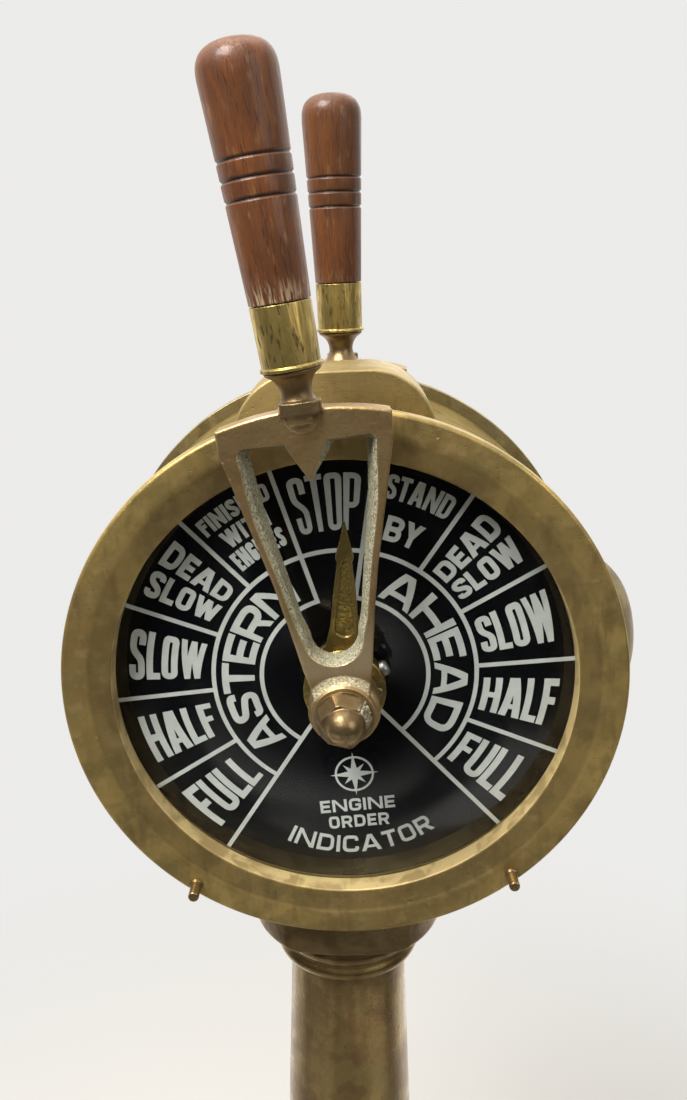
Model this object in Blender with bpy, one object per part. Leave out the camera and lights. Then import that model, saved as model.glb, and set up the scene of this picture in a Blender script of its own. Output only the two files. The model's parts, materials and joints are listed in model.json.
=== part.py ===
"""Ship engine order telegraph: a two-faced brass head on a tapered pedestal.

Each face has an order lever on the centre shaft, a reply pointer on a sleeve around that shaft,
an order dial behind glass and two stop pins. Order chains run from both shafts down the
pedestal, a sprung plunger marks each order, and a hammer rings the gong under the side cap.

Metres, +Z up. The origin is the centre of the base's underside, and the front dial faces -Y.
Both faces are modelled once, in a side frame whose Y axis is the head's axis: y = -HALF_DEPTH is
the front plane of the bezel and +Y points into the drum. The back face is that same frame turned
half a turn about Z. Angles on a face are clockwise from the top, as seen by its operator.
"""

from math import asin, cos, pi, radians, sin

import bmesh
import bpy
from mathutils import Matrix, Vector

MM = 0.001
GAP = 0.3 * MM

# Head and pedestal, driving sizes.
AXIS_HEIGHT = 940 * MM
HALF_DEPTH = 77 * MM
BEZEL_FLANGE = 9.8 * MM
DRUM_RADIUS = 143 * MM
DRUM_WALL = 4 * MM
BASE_HEIGHT = 60 * MM
COLUMN_TOP_RADIUS = 36.8 * MM
COLUMN_SLOPE = 0.0387
CHAIN_DUCT_RADIUS = 32.5 * MM
SADDLE_FOOT = 191 * MM
COLLAR_HEIGHT = 21.7 * MM

# How the head and what it carries stand at rest.
HEAD_TURN = radians(-2.0)
DIAL_TURN = radians(-3.45)
FRONT_LEVER_TURN = radians(-7.0)
FRONT_HANDLE_LEAN = radians(-2.2)
BACK_LEVER_TURN = radians(0.5)
BACK_HANDLE_LEAN = radians(1.4)
POINTER_TURN = radians(0.3)

# Depths behind the bezel's front plane; negative is towards the operator.
GLASS_DEPTH = (15.1 * MM, 18.1 * MM)
DIAL_DEPTH = (21.65 * MM, 23.65 * MM)
DISC_DEPTH = (0.5 * MM, 11.5 * MM)
NEEDLE_DEPTH = (4.0 * MM, 8.0 * MM)
BRIDGE_DEPTH = (27.0 * MM, 33.0 * MM)
REPLY_SPROCKET_DEPTH = (38.0 * MM, 42.0 * MM)
STAR_DEPTH = (46.0 * MM, 50.0 * MM)
ORDER_SPROCKET_DEPTH = (60.0 * MM, 64.0 * MM)
LEVER_DEPTH = (-25.0 * MM, -10.0 * MM)
HANDLE_DEPTH = -16.5 * MM

# Shaft, sleeve and what turns on them.
SHAFT_RADIUS = 7 * MM
SLEEVE_RADIUS = 9 * MM
SPROCKET_TIP = 21 * MM
SPROCKET_ROOT = 18.5 * MM
SPROCKET_TEETH = 16
CHAIN_THICKNESS = 2.7 * MM
CHAIN_WIDTH = 5 * MM
CHAIN_START = 13 * MM
CHAIN_END_HEIGHT = 95 * MM
STAR_RADIUS = 30 * MM
STAR_NOTCH_DEPTH = 4 * MM
STAR_HALF_NOTCH = radians(5.5)
ORDER_PITCH = radians(26)
NOTCHES_EACH_WAY = 4
SPRING_HEIGHTS = (40.9 * MM, 55.1 * MM)
SPRING_RADIUS = 4.5 * MM
SPRING_WIRE = 0.6 * MM
SPRING_TURNS = 5

# Order lever.
CROSSBAR_RADIUS = 155 * MM
CROSSBAR_HALF_WIDTH = 41.6 * MM
LEAN_HEIGHT = 127 * MM
FERRULE_FOOT = 173 * MM
GRIP_FOOT = 203 * MM
GRIP_WIDEST = 299 * MM
GRIP_GROOVES = (248 * MM, 256.6 * MM, 265 * MM)
TANG_RADIUS = 5 * MM
TANG_TOP = 285 * MM

# Stop pins, lamp house, side cap and gong.
PIN_RADIUS = 3 * MM
PIN_CIRCLE = 144.5 * MM
PIN_ANGLE = radians(142.3)
PIN_REACH = 12.5 * MM
PIN_SEAT = 6 * MM
LAMP_HALF_WIDTH = 55.5 * MM
LAMP_HALF_DEPTH = 25.7 * MM
LAMP_TOP = 162 * MM
LAMP_CORNER = 37 * MM
LAMP_WALL = 3 * MM
BRIDGE_TILT = radians(-25)
HAMMER_PIVOT = (81.6 * MM, 38.0 * MM)
HAMMER_HEAD = (147.0 * MM, 17.0 * MM)
HAMMER_DEPTH = (-12.5 * MM, -8.5 * MM)

# Segments of the drum, and of large, middling and small round pieces.
DRUM_ROUND = 56
ROUND = 36
MIDDLE_ROUND = 20
SMALL_ROUND = 14


def behind(depth):
    """The side frame's y at a depth behind the bezel's front plane."""
    return depth - HALF_DEPTH


def polar(radius, angle):
    """The x and z of a point at a clockwise angle from the top."""
    return radius * sin(angle), radius * cos(angle)


def new_mesh(bm):
    """Closes a bmesh into a mesh with its faces pointing out."""
    bmesh.ops.remove_doubles(bm, verts=bm.verts, dist=1e-7)
    bmesh.ops.recalc_face_normals(bm, faces=bm.faces)
    mesh = bpy.data.meshes.new("shape")
    bm.to_mesh(mesh)
    bm.free()
    return mesh


def turned(profile, along="Z", segments=ROUND):
    """Spins (radius, station) points about an axis: a ring, or a solid where both ends have radius 0."""
    bm = bmesh.new()
    verts = [bm.verts.new((radius, 0, station)) for radius, station in profile]
    edges = [bm.edges.new(pair) for pair in zip(verts, verts[1:])]
    solid = profile[0][0] == 0 and profile[-1][0] == 0
    if not solid:
        edges.append(bm.edges.new((verts[-1], verts[0])))
    bmesh.ops.spin(
        bm,
        geom=verts + edges,
        cent=(0, 0, 0),
        axis=(0, 0, 1),
        angle=2 * pi,
        steps=segments,
        use_merge=True,
    )
    mesh = new_mesh(bm)
    if along == "Y":
        mesh.transform(Matrix.Rotation(-pi / 2, 4, "X"))
    if along == "X":
        mesh.transform(Matrix.Rotation(pi / 2, 4, "Y"))
    return mesh


def plate(outline, y_range):
    """Extrudes an outline of (x, z) points from one y to the other."""
    front, back = y_range
    bm = bmesh.new()
    face = bm.faces.new([bm.verts.new((x, front, z)) for x, z in outline])
    grown = bmesh.ops.extrude_face_region(bm, geom=[face])
    moved = [item for item in grown["geom"] if isinstance(item, bmesh.types.BMVert)]
    bmesh.ops.translate(bm, verts=moved, vec=(0, back - front, 0))
    return new_mesh(bm)


def box(x_range, y_range, z_range):
    """A rectangular block between two limits on each axis."""
    (left, right), (low, high) = x_range, z_range
    return plate([(left, low), (right, low), (right, high), (left, high)], y_range)


def rod(radius, y_range, centre=(0, 0), segments=SMALL_ROUND):
    """A cylinder along Y about a centre of (x, z)."""
    front, back = y_range
    mesh = turned([(0, front), (radius, front), (radius, back), (0, back)], "Y", segments)
    mesh.transform(Matrix.Translation((centre[0], 0, centre[1])))
    return mesh


def boolean(mesh, tool, operation):
    """Applies an exact Boolean of two meshes and returns the result."""
    target = bpy.data.objects.new("target", mesh)
    other = bpy.data.objects.new("tool", tool)
    for obj in (target, other):
        bpy.context.scene.collection.objects.link(obj)
    modifier = target.modifiers.new("Boolean", "BOOLEAN")
    modifier.operation = operation
    modifier.object = other
    modifier.solver = "EXACT"
    bpy.context.view_layer.update()
    depsgraph = bpy.context.evaluated_depsgraph_get()
    result = bpy.data.meshes.new_from_object(target.evaluated_get(depsgraph))
    for obj in (target, other):
        bpy.data.objects.remove(obj)
    return result


def cut(mesh, *tools):
    """Takes each tool away from the mesh."""
    for tool in tools:
        mesh = boolean(mesh, tool, "DIFFERENCE")
    return mesh


def fuse(mesh, *others):
    """Adds each other mesh to the first one."""
    for other in others:
        mesh = boolean(mesh, other, "UNION")
    return mesh


def arc(radius, start, end, steps, centre=(0, 0)):
    """Points of a circle between two clockwise angles from the top."""
    points = []
    for index in range(steps + 1):
        x, z = polar(radius, start + (end - start) * index / steps)
        points.append((centre[0] + x, centre[1] + z))
    return points


def mirrored(half):
    """Completes an outline from its right half, listed from the bottom to the top."""
    left = [(-x, z) for x, z in reversed(half) if x > 1e-9]
    return half + left


def base_flange():
    """The bell-shaped foot, hollow beneath, with four holes for holding-down bolts."""
    outer = [(170, 0), (170, 10), (166, 14), (140, 18), (112, 26), (90, 38), (78, 50), (74, 60)]
    inner = [(58, 60), (76, 32), (130, 8), (130, 0)]
    mesh = turned([(radius * MM, height * MM) for radius, height in outer + inner])
    for index in range(4):
        x, y = polar(152 * MM, radians(41.25 + 90 * index))
        hole = turned([(0, 30 * MM), (6 * MM, 30 * MM), (6 * MM, -5 * MM), (0, -5 * MM)], "Z", 12)
        hole.transform(Matrix.Translation((x, y, 0)))
        mesh = cut(mesh, hole)
    return mesh


def column():
    """The tapered pedestal tube, from the base to the collar."""
    top = AXIS_HEIGHT - SADDLE_FOOT - COLLAR_HEIGHT - 2 * GAP
    bottom = BASE_HEIGHT + GAP
    foot_radius = COLUMN_TOP_RADIUS + COLUMN_SLOPE * (top - bottom)
    wall = COLUMN_TOP_RADIUS - CHAIN_DUCT_RADIUS
    profile = [
        (CHAIN_DUCT_RADIUS, top),
        (COLUMN_TOP_RADIUS, top),
        (foot_radius, bottom),
        (foot_radius - wall, bottom),
    ]
    return turned(profile)


def collar():
    """The ring with two beads that joins the column to the saddle; heights are from the head's axis."""
    top = AXIS_HEIGHT - SADDLE_FOOT - GAP
    beads = [(44.6, 0), (46.4, 4), (45.2, 8), (43.6, 10.4), (46.4, 15)]
    foot = [(44.6, 19.4), (39.6, COLLAR_HEIGHT / MM)]
    profile = [(radius * MM, top - drop * MM) for radius, drop in beads + foot]
    ends = [(CHAIN_DUCT_RADIUS, top - COLLAR_HEIGHT), (CHAIN_DUCT_RADIUS, top)]
    return turned(profile + ends, segments=28)


def drum_clearance():
    """The drum's outside with a working gap, as a cutter in the head frame."""
    return rod(DRUM_RADIUS + GAP, (-HALF_DEPTH, HALF_DEPTH), segments=DRUM_ROUND)


def saddle():
    """The cup that carries the drum: round, cut flat at the front and back."""
    outside = [(46, -191), (52, -189.6), (57, -187.4), (60, -184), (60, -120)]
    profile = [(radius * MM, height * MM) for radius, height in outside]
    ends = [(CHAIN_DUCT_RADIUS, -120 * MM), (CHAIN_DUCT_RADIUS, -SADDLE_FOOT)]
    mesh = turned(profile + ends)
    flats = box((-70 * MM, 70 * MM), (-46 * MM, 46 * MM), (-200 * MM, -110 * MM))
    return cut(boolean(mesh, flats, "INTERSECT"), drum_clearance())


def drum_body():
    """The round shell of the head, open to the lamp house, the pedestal and the side cap."""
    edge = HALF_DEPTH - BEZEL_FLANGE - GAP
    inside = DRUM_RADIUS - DRUM_WALL
    shell = turned(
        [(inside, -edge), (DRUM_RADIUS, -edge), (DRUM_RADIUS, edge), (inside, edge)], "Y", DRUM_ROUND
    )
    lamp_slot = box((-30 * MM, 30 * MM), (-18 * MM, 18 * MM), (120 * MM, 150 * MM))
    radius = CHAIN_DUCT_RADIUS
    duct = turned([(0, -120 * MM), (radius, -120 * MM), (radius, -150 * MM), (0, -150 * MM)], "Z", 20)
    duct.transform(Matrix.Rotation(-HEAD_TURN, 4, "Y"))
    port = turned([(0, 150 * MM), (38 * MM, 150 * MM), (38 * MM, 120 * MM), (0, 120 * MM)], "X", 24)
    return cut(shell, lamp_slot, duct, port)


def lamp_outline(inset, bottom):
    """The lamp house seen from the front, drawn in by an inset, down to a bottom height."""
    corner = (LAMP_HALF_WIDTH - LAMP_CORNER, LAMP_TOP - LAMP_CORNER)
    shoulder = arc(LAMP_CORNER - inset, pi / 2, 0, 8, corner)
    return mirrored([(LAMP_HALF_WIDTH - inset, bottom)] + shoulder)


def lamp_house():
    """The hump on top of the drum that covers the dial lamp."""
    depth = LAMP_HALF_DEPTH
    shell = plate(lamp_outline(0, 118 * MM), (-depth, depth))
    inner = depth - LAMP_WALL
    hollow = plate(lamp_outline(LAMP_WALL, 100 * MM), (-inner, inner))
    return cut(shell, hollow, drum_clearance())


def lamp_socket():
    """The lamp holder under the roof of the lamp house."""
    profile = [(0, 146), (10, 146), (10, 156), (7, 158.6), (0, 158.6)]
    return turned([(radius * MM, height * MM) for radius, height in profile], segments=SMALL_ROUND)


def lamp_bulb():
    """The dial lamp, hanging through the slot into the drum."""
    glass = [(0, 104), (6, 105.4), (11, 110), (13, 117), (11.6, 124), (8.5, 131), (6.6, 137)]
    profile = glass + [(6.6, 145.7), (0, 145.7)]
    return turned([(radius * MM, height * MM) for radius, height in profile], segments=SMALL_ROUND)


def side_cap():
    """The domed cover of the gong port on the drum's right side."""
    outer = [(0, 169.3), (19.5, 167.3), (31.8, 162.6), (42.6, 153), (47, 142), (47, 128)]
    inner = [(44.2, 128), (44.2, 142), (40.2, 151.8), (30.4, 160.2), (19, 164.7), (0, 166.7)]
    profile = [(radius * MM, station * MM) for radius, station in outer + inner]
    return cut(turned(profile, "X", 28), drum_clearance())


def gong():
    """A shallow bell, mouth towards the inside of the drum."""
    outer = [(30, 144), (30, 150), (26, 156), (3.4, 161)]
    inner = [(3.4, 159.2), (24.8, 154.6), (28, 149.4), (28, 144)]
    profile = [(radius * MM, station * MM) for radius, station in outer + inner]
    return turned(profile, "X", MIDDLE_ROUND)


def gong_stud():
    """The stud that holds the gong under the crown of the side cap."""
    profile = [(0, 148), (3, 148), (3, 155), (5.5, 155), (5.5, 158.4), (3, 158.4), (3, 163)]
    profile += [(7, 163), (7, 165.6), (0, 165.6)]
    return turned([(radius * MM, x * MM) for radius, x in profile], "X", 12)


def gong_hammer():
    """The pivoted hammer inside the drum, its head below the gong's rim."""
    (pivot_x, pivot_z), (head_x, head_z) = HAMMER_PIVOT, HAMMER_HEAD
    reach = Vector((head_x - pivot_x, head_z - pivot_z))
    side = Vector((-reach.y, reach.x)).normalized() * 2 * MM
    tail = Vector(HAMMER_PIVOT) - reach * 0.3
    head = Vector(HAMMER_HEAD)
    arm = plate([tail - side, head - side, head + side, tail + side], HAMMER_DEPTH)
    hub = rod(6 * MM, HAMMER_DEPTH, HAMMER_PIVOT)
    knob = rod(4 * MM, (HAMMER_DEPTH[0] - 1.5 * MM, HAMMER_DEPTH[1] + 1.5 * MM), HAMMER_HEAD)
    bore = rod(3.3 * MM, (-20 * MM, 0), HAMMER_PIVOT)
    return cut(fuse(arm, hub, knob), bore)


def crossing_bar(half_height, y_range):
    """A bar from wall to wall of the drum, with round ends that fit its bore."""
    fit = DRUM_RADIUS - DRUM_WALL - GAP
    sweep = asin(half_height / fit)
    right = arc(fit, pi / 2 + sweep, pi / 2 - sweep, 2)
    left = arc(fit, -pi / 2 + sweep, -pi / 2 - sweep, 2)
    return plate(right + left, y_range)


def side_bridge():
    """The bar behind a dial: bearing of the pointer sleeve and guide of the order plunger."""
    front, back = (behind(depth) for depth in BRIDGE_DEPTH)
    star_centre = behind(sum(STAR_DEPTH) / 2)
    bar = crossing_bar(11 * MM, (front, back))
    boss = rod(16 * MM, (front - 0.5 * MM, back + 3.5 * MM), segments=MIDDLE_ROUND)
    arm = box((-8 * MM, 8 * MM), (front, back), (5 * MM, 64 * MM))
    lug = box((-8 * MM, 8 * MM), (back - 1 * MM, star_centre + 7 * MM), (56 * MM, 64 * MM))
    sleeve_bore = rod(SLEEVE_RADIUS + GAP, (-HALF_DEPTH, 0))
    guide = [(0, 50 * MM), (3.3 * MM, 50 * MM), (3.3 * MM, 70 * MM), (0, 70 * MM)]
    guide_bore = turned(guide, "Z", 16)
    guide_bore.transform(Matrix.Translation((0, star_centre, 0)))
    return cut(fuse(bar, boss, arm, lug), sleeve_bore, guide_bore)


def centre_bridge():
    """The tilted bar halfway through the drum: inner bearing of both shafts and hammer pivot."""
    bar = crossing_bar(11 * MM, (-6 * MM, 6 * MM))
    bar.transform(Matrix.Rotation(BRIDGE_TILT, 4, "Y"))
    boss = rod(14 * MM, (-7 * MM, 7 * MM), segments=MIDDLE_ROUND)
    pivot = rod(3 * MM, (-14 * MM, -5 * MM), HAMMER_PIVOT)
    bore = rod(SHAFT_RADIUS + GAP, (-20 * MM, 20 * MM))
    return cut(fuse(bar, boss, pivot), bore)


def bezel():
    """The brass ring that holds one glass and one dial, with holes for its two stop pins."""
    face = [(124, 3.6), (135.6, 0.9), (136.6, 0), (148.6, 0), (150, 1.2)]
    rim = [(150, 9.8), (138.6, 9.8), (138.6, 25.8)]
    seats = [(129.4, 25.8), (129.4, 21.3), (126.8, 21.3), (126.8, 14.8), (124, 14.8)]
    profile = [(radius * MM, behind(depth * MM)) for radius, depth in face + rim + seats]
    mesh = turned(profile, "Y")
    for angle in (-PIN_ANGLE, PIN_ANGLE):
        seat = (behind(-5 * MM), behind(PIN_SEAT + GAP))
        mesh = cut(mesh, rod(PIN_RADIUS + GAP, seat, polar(PIN_CIRCLE, angle), 12))
    return mesh


def stop_pin(angle):
    """A pin screwed into the bezel, where the lever's crossbar comes to rest."""
    tip = behind(-PIN_REACH)
    profile = [
        (0, tip),
        (PIN_RADIUS * 0.7, tip + 0.2 * MM),
        (PIN_RADIUS, tip + 1.2 * MM),
        (PIN_RADIUS, behind(PIN_SEAT)),
        (0, behind(PIN_SEAT)),
    ]
    mesh = turned(profile, "Y", 12)
    x, z = polar(PIN_CIRCLE, angle)
    mesh.transform(Matrix.Translation((x, 0, z)))
    return mesh


def disc(depths, radius, bore, segments=ROUND):
    """A round plate with a central hole, such as the glass or the dial."""
    front, back = (behind(depth) for depth in depths)
    return turned([(bore, front), (radius, front), (radius, back), (bore, back)], "Y", segments)


def toothed_wheel(depths, bore):
    """A chain sprocket; each tooth is given by radii at shares of the pitch."""
    pitch = 2 * pi / SPROCKET_TEETH
    rise = [(SPROCKET_ROOT, -0.3), (SPROCKET_TIP, -0.12)]
    fall = [(SPROCKET_TIP, 0.12), (SPROCKET_ROOT, 0.3)]
    outline = []
    for index in range(SPROCKET_TEETH):
        outline += [polar(radius, pitch * (index + share)) for radius, share in rise + fall]
    wheel = plate(outline, [behind(depth) for depth in depths])
    return cut(wheel, rod(bore, (-HALF_DEPTH, 0)))


def star_wheel():
    """The order wheel: a notch for each order, relieved where the lever meets its stop pins."""
    root = STAR_RADIUS - STAR_NOTCH_DEPTH
    last = NOTCHES_EACH_WAY * ORDER_PITCH
    outline = []
    for index in range(-NOTCHES_EACH_WAY, NOTCHES_EACH_WAY):
        notch = index * ORDER_PITCH
        outline.append(polar(root, notch))
        land = (notch + STAR_HALF_NOTCH, notch + ORDER_PITCH - STAR_HALF_NOTCH)
        outline += arc(STAR_RADIUS, *land, 2)
    outline += arc(root, last, 2 * pi - last - STAR_HALF_NOTCH, 8)
    wheel = plate(outline, [behind(depth) for depth in STAR_DEPTH])
    return cut(wheel, rod(SHAFT_RADIUS + GAP, (-HALF_DEPTH, 0)))


def order_plunger():
    """The plunger that drops into the order wheel's notches, drawn raised clear of the wheel."""
    nose = [(0, 30.4), (1.2, 30.6), (3, 34)]
    profile = nose + [(3, 38), (5.4, 38), (5.4, 40), (3, 40), (3, 68), (0, 68)]
    mesh = turned([(radius * MM, height * MM) for radius, height in profile], segments=16)
    mesh.transform(Matrix.Translation((0, behind(sum(STAR_DEPTH) / 2), 0)))
    return mesh


def plunger_spring():
    """The coil between the plunger's collar and its guide."""
    foot, top = SPRING_HEIGHTS
    steps_a_turn = 8
    sides = 4
    steps = SPRING_TURNS * steps_a_turn
    bm = bmesh.new()
    rings = []
    for index in range(steps + 1):
        angle = 2 * pi * index / steps_a_turn
        height = foot + (top - foot) * index / steps
        ring = []
        for side in range(sides):
            around = 2 * pi * side / sides
            radius = SPRING_RADIUS + SPRING_WIRE * cos(around)
            rise = SPRING_WIRE * sin(around)
            ring.append(bm.verts.new((radius * cos(angle), radius * sin(angle), height + rise)))
        rings.append(ring)
    for lower, upper in zip(rings, rings[1:]):
        for side in range(sides):
            after = (side + 1) % sides
            bm.faces.new((lower[side], lower[after], upper[after], upper[side]))
    bm.faces.new(rings[0])
    bm.faces.new(rings[-1])
    mesh = new_mesh(bm)
    mesh.transform(Matrix.Translation((0, behind(sum(STAR_DEPTH) / 2), 0)))
    return mesh


def chain_band():
    """The chain's radial limits over the sprocket's tips."""
    inner = SPROCKET_TIP + GAP
    return inner, inner + CHAIN_THICKNESS


def chain_depths():
    """The chain's limits along the shaft."""
    middle = behind(sum(ORDER_SPROCKET_DEPTH) / 2)
    return middle - CHAIN_WIDTH / 2, middle + CHAIN_WIDTH / 2


def chain_wrap():
    """The half turn of chain over the order sprocket."""
    inner, outer = chain_band()
    outline = arc(outer, -pi / 2, pi / 2, 16) + arc(inner, pi / 2, -pi / 2, 16)
    return plate(outline, chain_depths())


def chain_run(side):
    """One straight run of the order chain, down to the foot of the pedestal."""
    inner, outer = sorted(side * limit for limit in chain_band())
    return box((inner, outer), chain_depths(), (CHAIN_END_HEIGHT - AXIS_HEIGHT, -CHAIN_START))


def lever_shaft():
    """The order shaft, from inside the cap nut to the centre bridge."""
    front, back = behind(-43 * MM), behind(75.5 * MM)
    return rod(SHAFT_RADIUS, (front, back))


def pointer_sleeve():
    """The tube around the shaft that carries the reply pointer."""
    front, back = behind(2 * MM), behind(44 * MM)
    bore = SHAFT_RADIUS + 0.4 * MM
    profile = [(bore, front), (SLEEVE_RADIUS, front), (SLEEVE_RADIUS, back), (bore, back)]
    return turned(profile, "Y", SMALL_ROUND)


def lever_outline():
    """The A-frame from outside: two legs from the hub to a crossbar with a round top."""
    leg = [(14, 8), (17.6, 26), (21.5, 50), (26, 74), (34.5, 109), (41.2, 138)]
    corner = asin(CROSSBAR_HALF_WIDTH / CROSSBAR_RADIUS)
    half = [(x * MM, z * MM) for x, z in leg] + arc(CROSSBAR_RADIUS, corner, 0, 5)
    return mirrored(half)


def lever_window():
    """The opening between the legs, with the arrow that hangs from the crossbar."""
    bend = arc(13 * MM, pi, pi / 2, 5, (0, 40 * MM))
    leg = [(16, 50), (20.5, 73), (28, 106), (32, 137), (30.5, 139.5), (10, 139.5), (0, 120)]
    return mirrored(bend + [(x * MM, z * MM) for x, z in leg])


def lean(mesh, angle):
    """Tips a piece of the handle about the crossbar."""
    pivot = Vector((0, 0, LEAN_HEIGHT))
    mesh.transform(Matrix.Translation(-pivot))
    mesh.transform(Matrix.Rotation(angle, 4, "Y"))
    mesh.transform(Matrix.Translation(pivot + Vector((0, behind(HANDLE_DEPTH), 0))))
    return mesh


def lever_casting(handle_lean):
    """The one-piece order lever: hub, A-frame, neck and the tang inside the handle."""
    frame = cut(
        plate(lever_outline(), [behind(depth) for depth in LEVER_DEPTH]),
        plate(lever_window(), (behind(-40 * MM), behind(0))),
    )
    hub = rod(18.5 * MM, (behind(-25 * MM), behind(-1.2 * MM)), segments=MIDDLE_ROUND)
    rim = rod(16 * MM, (behind(-29 * MM), behind(-24 * MM)), segments=MIDDLE_ROUND)
    trumpet = [(0, 146), (10, 146), (10, 152.5), (7.8, 157), (7, 161), (7.6, 165), (9.8, 169), (13.2, 172)]
    shoulder = FERRULE_FOOT - GAP
    profile = [(radius * MM, height * MM) for radius, height in trumpet]
    profile += [(13.6 * MM, shoulder), (TANG_RADIUS, shoulder), (TANG_RADIUS, TANG_TOP), (0, TANG_TOP)]
    neck = turned(profile, segments=SMALL_ROUND)
    bore = rod(SHAFT_RADIUS + GAP, (-HALF_DEPTH - 50 * MM, 0))
    return cut(fuse(frame, hub, rim, lean(neck, handle_lean)), bore)


def lever_ferrule(handle_lean):
    """The brass tube between the neck and the grip."""
    bore = TANG_RADIUS + GAP
    foot = FERRULE_FOOT
    top = GRIP_FOOT - GAP
    flange = [(15 * MM, foot), (15 * MM, foot + 1.6 * MM), (13.95 * MM, foot + 2.2 * MM)]
    profile = [(bore, foot)] + flange + [(14.45 * MM, top), (bore, top)]
    return lean(turned(profile, segments=18), handle_lean)


def grip_radius(height):
    """The grip's half thickness, widening evenly towards the top."""
    share = (height - GRIP_FOOT) / (GRIP_WIDEST - GRIP_FOOT)
    return (14.45 + (18.1 - 14.45) * share) * MM


def lever_grip(handle_lean):
    """The turned wooden grip with three grooves, bored for the tang."""
    top = [(0, 312.8), (7, 312.4), (12, 310.8), (15.5, 307.8), (17.4, 304)]
    profile = [(radius * MM, height * MM) for radius, height in top]
    profile.append((grip_radius(GRIP_WIDEST), GRIP_WIDEST))
    for groove in reversed(GRIP_GROOVES):
        for rise, sink in ((0.9 * MM, 0), (0, 0.8 * MM), (-0.9 * MM, 0)):
            profile.append((grip_radius(groove + rise) - sink, groove + rise))
    bore = TANG_RADIUS + GAP
    roof = TANG_TOP + 1 * MM
    profile += [(grip_radius(GRIP_FOOT), GRIP_FOOT), (bore, GRIP_FOOT), (bore, roof), (0, roof)]
    return lean(turned(profile, segments=18), handle_lean)


def hub_washer():
    """The plain washer under the cap nut."""
    return disc((-31.2 * MM, -29.3 * MM), 14.5 * MM, SHAFT_RADIUS + GAP, MIDDLE_ROUND)


def hub_nut():
    """The domed cap nut on the end of the order shaft."""
    hexagon = [polar(13 * MM, radians(60 * index)) for index in range(6)]
    body = plate(hexagon, (behind(-38 * MM), behind(-31.5 * MM)))
    dome = [(0, -48.5), (4.2, -47.6), (7.6, -45), (9.8, -41.4), (10.4, -38), (10.4, -35), (0, -35)]
    crown = turned([(radius * MM, behind(depth * MM)) for radius, depth in dome], "Y", 16)
    bore = rod(SHAFT_RADIUS + GAP, (behind(-43.3 * MM), behind(0)))
    return cut(fuse(body, crown), bore)


def reply_pointer():
    """The needle that repeats the engine room's answer, with its hub disc."""
    bore = SLEEVE_RADIUS + GAP
    hub = disc(DISC_DEPTH, 22 * MM, bore, MIDDLE_ROUND)
    root = [(15, 14), (15, 21), (9.9, 25), (7.6, 35)]
    blade = [(6, 52), (5.6, 56), (3.8, 70.4), (4.8, 73), (0, 92)]
    outline = mirrored([(x * MM, z * MM) for x, z in root + blade])
    needle = plate(outline, [behind(depth) for depth in NEEDLE_DEPTH])
    return cut(fuse(hub, needle), clamp_hole())


def clamp_frame():
    """Turns a piece that stands on +Z to the clamp screw's place on the pointer's hub."""
    return Matrix.Translation((0, behind(sum(DISC_DEPTH) / 2), 0)) @ Matrix.Rotation(radians(61), 4, "Y")


def clamp_hole():
    """The radial hole of the pointer's clamp screw."""
    mesh = turned([(0, 8 * MM), (2.3 * MM, 8 * MM), (2.3 * MM, 26 * MM), (0, 26 * MM)], "Z", 12)
    mesh.transform(clamp_frame())
    return mesh


def clamp_screw():
    """The steel screw that clamps the pointer to its sleeve."""
    profile = [(0, 11), (2, 11), (2, 22.4), (4.2, 22.4), (4.2, 24.6), (3.2, 26), (0, 26.4)]
    mesh = turned([(radius * MM, height * MM) for radius, height in profile], "Z", 16)
    mesh.transform(clamp_frame())
    return mesh


def material(name, colour, roughness, metallic):
    """A plain Principled material."""
    made = bpy.data.materials.new(name)
    made.use_nodes = True
    shader = made.node_tree.nodes["Principled BSDF"]
    shader.inputs["Base Color"].default_value = (*colour, 1)
    shader.inputs["Roughness"].default_value = roughness
    shader.inputs["Metallic"].default_value = metallic
    return made


def pivot(name, turn=0.0, facing_back=False, parent=None):
    """An empty on the head's axis that carries what turns or stands with it."""
    empty = bpy.data.objects.new(name, None)
    bpy.context.scene.collection.objects.link(empty)
    empty.parent = parent
    empty.location = (0, 0, 0) if parent else (0, 0, AXIS_HEIGHT)
    empty.rotation_euler = (0, turn, pi if facing_back else 0)
    return empty


def install(name, mesh, parent, look):
    """Makes a named object of a mesh, in its parent's frame."""
    if not mesh.materials:
        mesh.materials.append(look)
        mesh.shade_smooth()
        mesh.set_sharp_from_angle(angle=radians(35))
        mesh.name = name
    obj = bpy.data.objects.new(name, mesh)
    bpy.context.scene.collection.objects.link(obj)
    obj.parent = parent
    return obj


def build_pedestal(looks):
    """Base, column and collar on the ground; the saddle on the head's axis, upright."""
    install("base_flange", base_flange(), None, looks["cast_brass"])
    install("column", column(), None, looks["aged_brass"])
    install("collar", collar(), None, looks["aged_brass"])
    install("saddle", saddle(), pivot("saddle_frame"), looks["cast_brass"])


def build_head(looks):
    """The drum and everything fixed to it, turned a little on the saddle; returns its frame."""
    head = pivot("head_frame", HEAD_TURN)
    install("drum_body", drum_body(), head, looks["aged_brass"])
    install("lamp_house", lamp_house(), head, looks["aged_brass"])
    install("lamp_socket", lamp_socket(), head, looks["cast_brass"])
    install("lamp_bulb", lamp_bulb(), head, looks["glass"])
    install("side_cap", side_cap(), head, looks["aged_brass"])
    install("gong", gong(), head, looks["bright_brass"])
    install("gong_stud", gong_stud(), head, looks["steel"])
    install("gong_hammer", gong_hammer(), head, looks["steel"])
    install("centre_bridge", centre_bridge(), head, looks["iron"])
    return head


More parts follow.
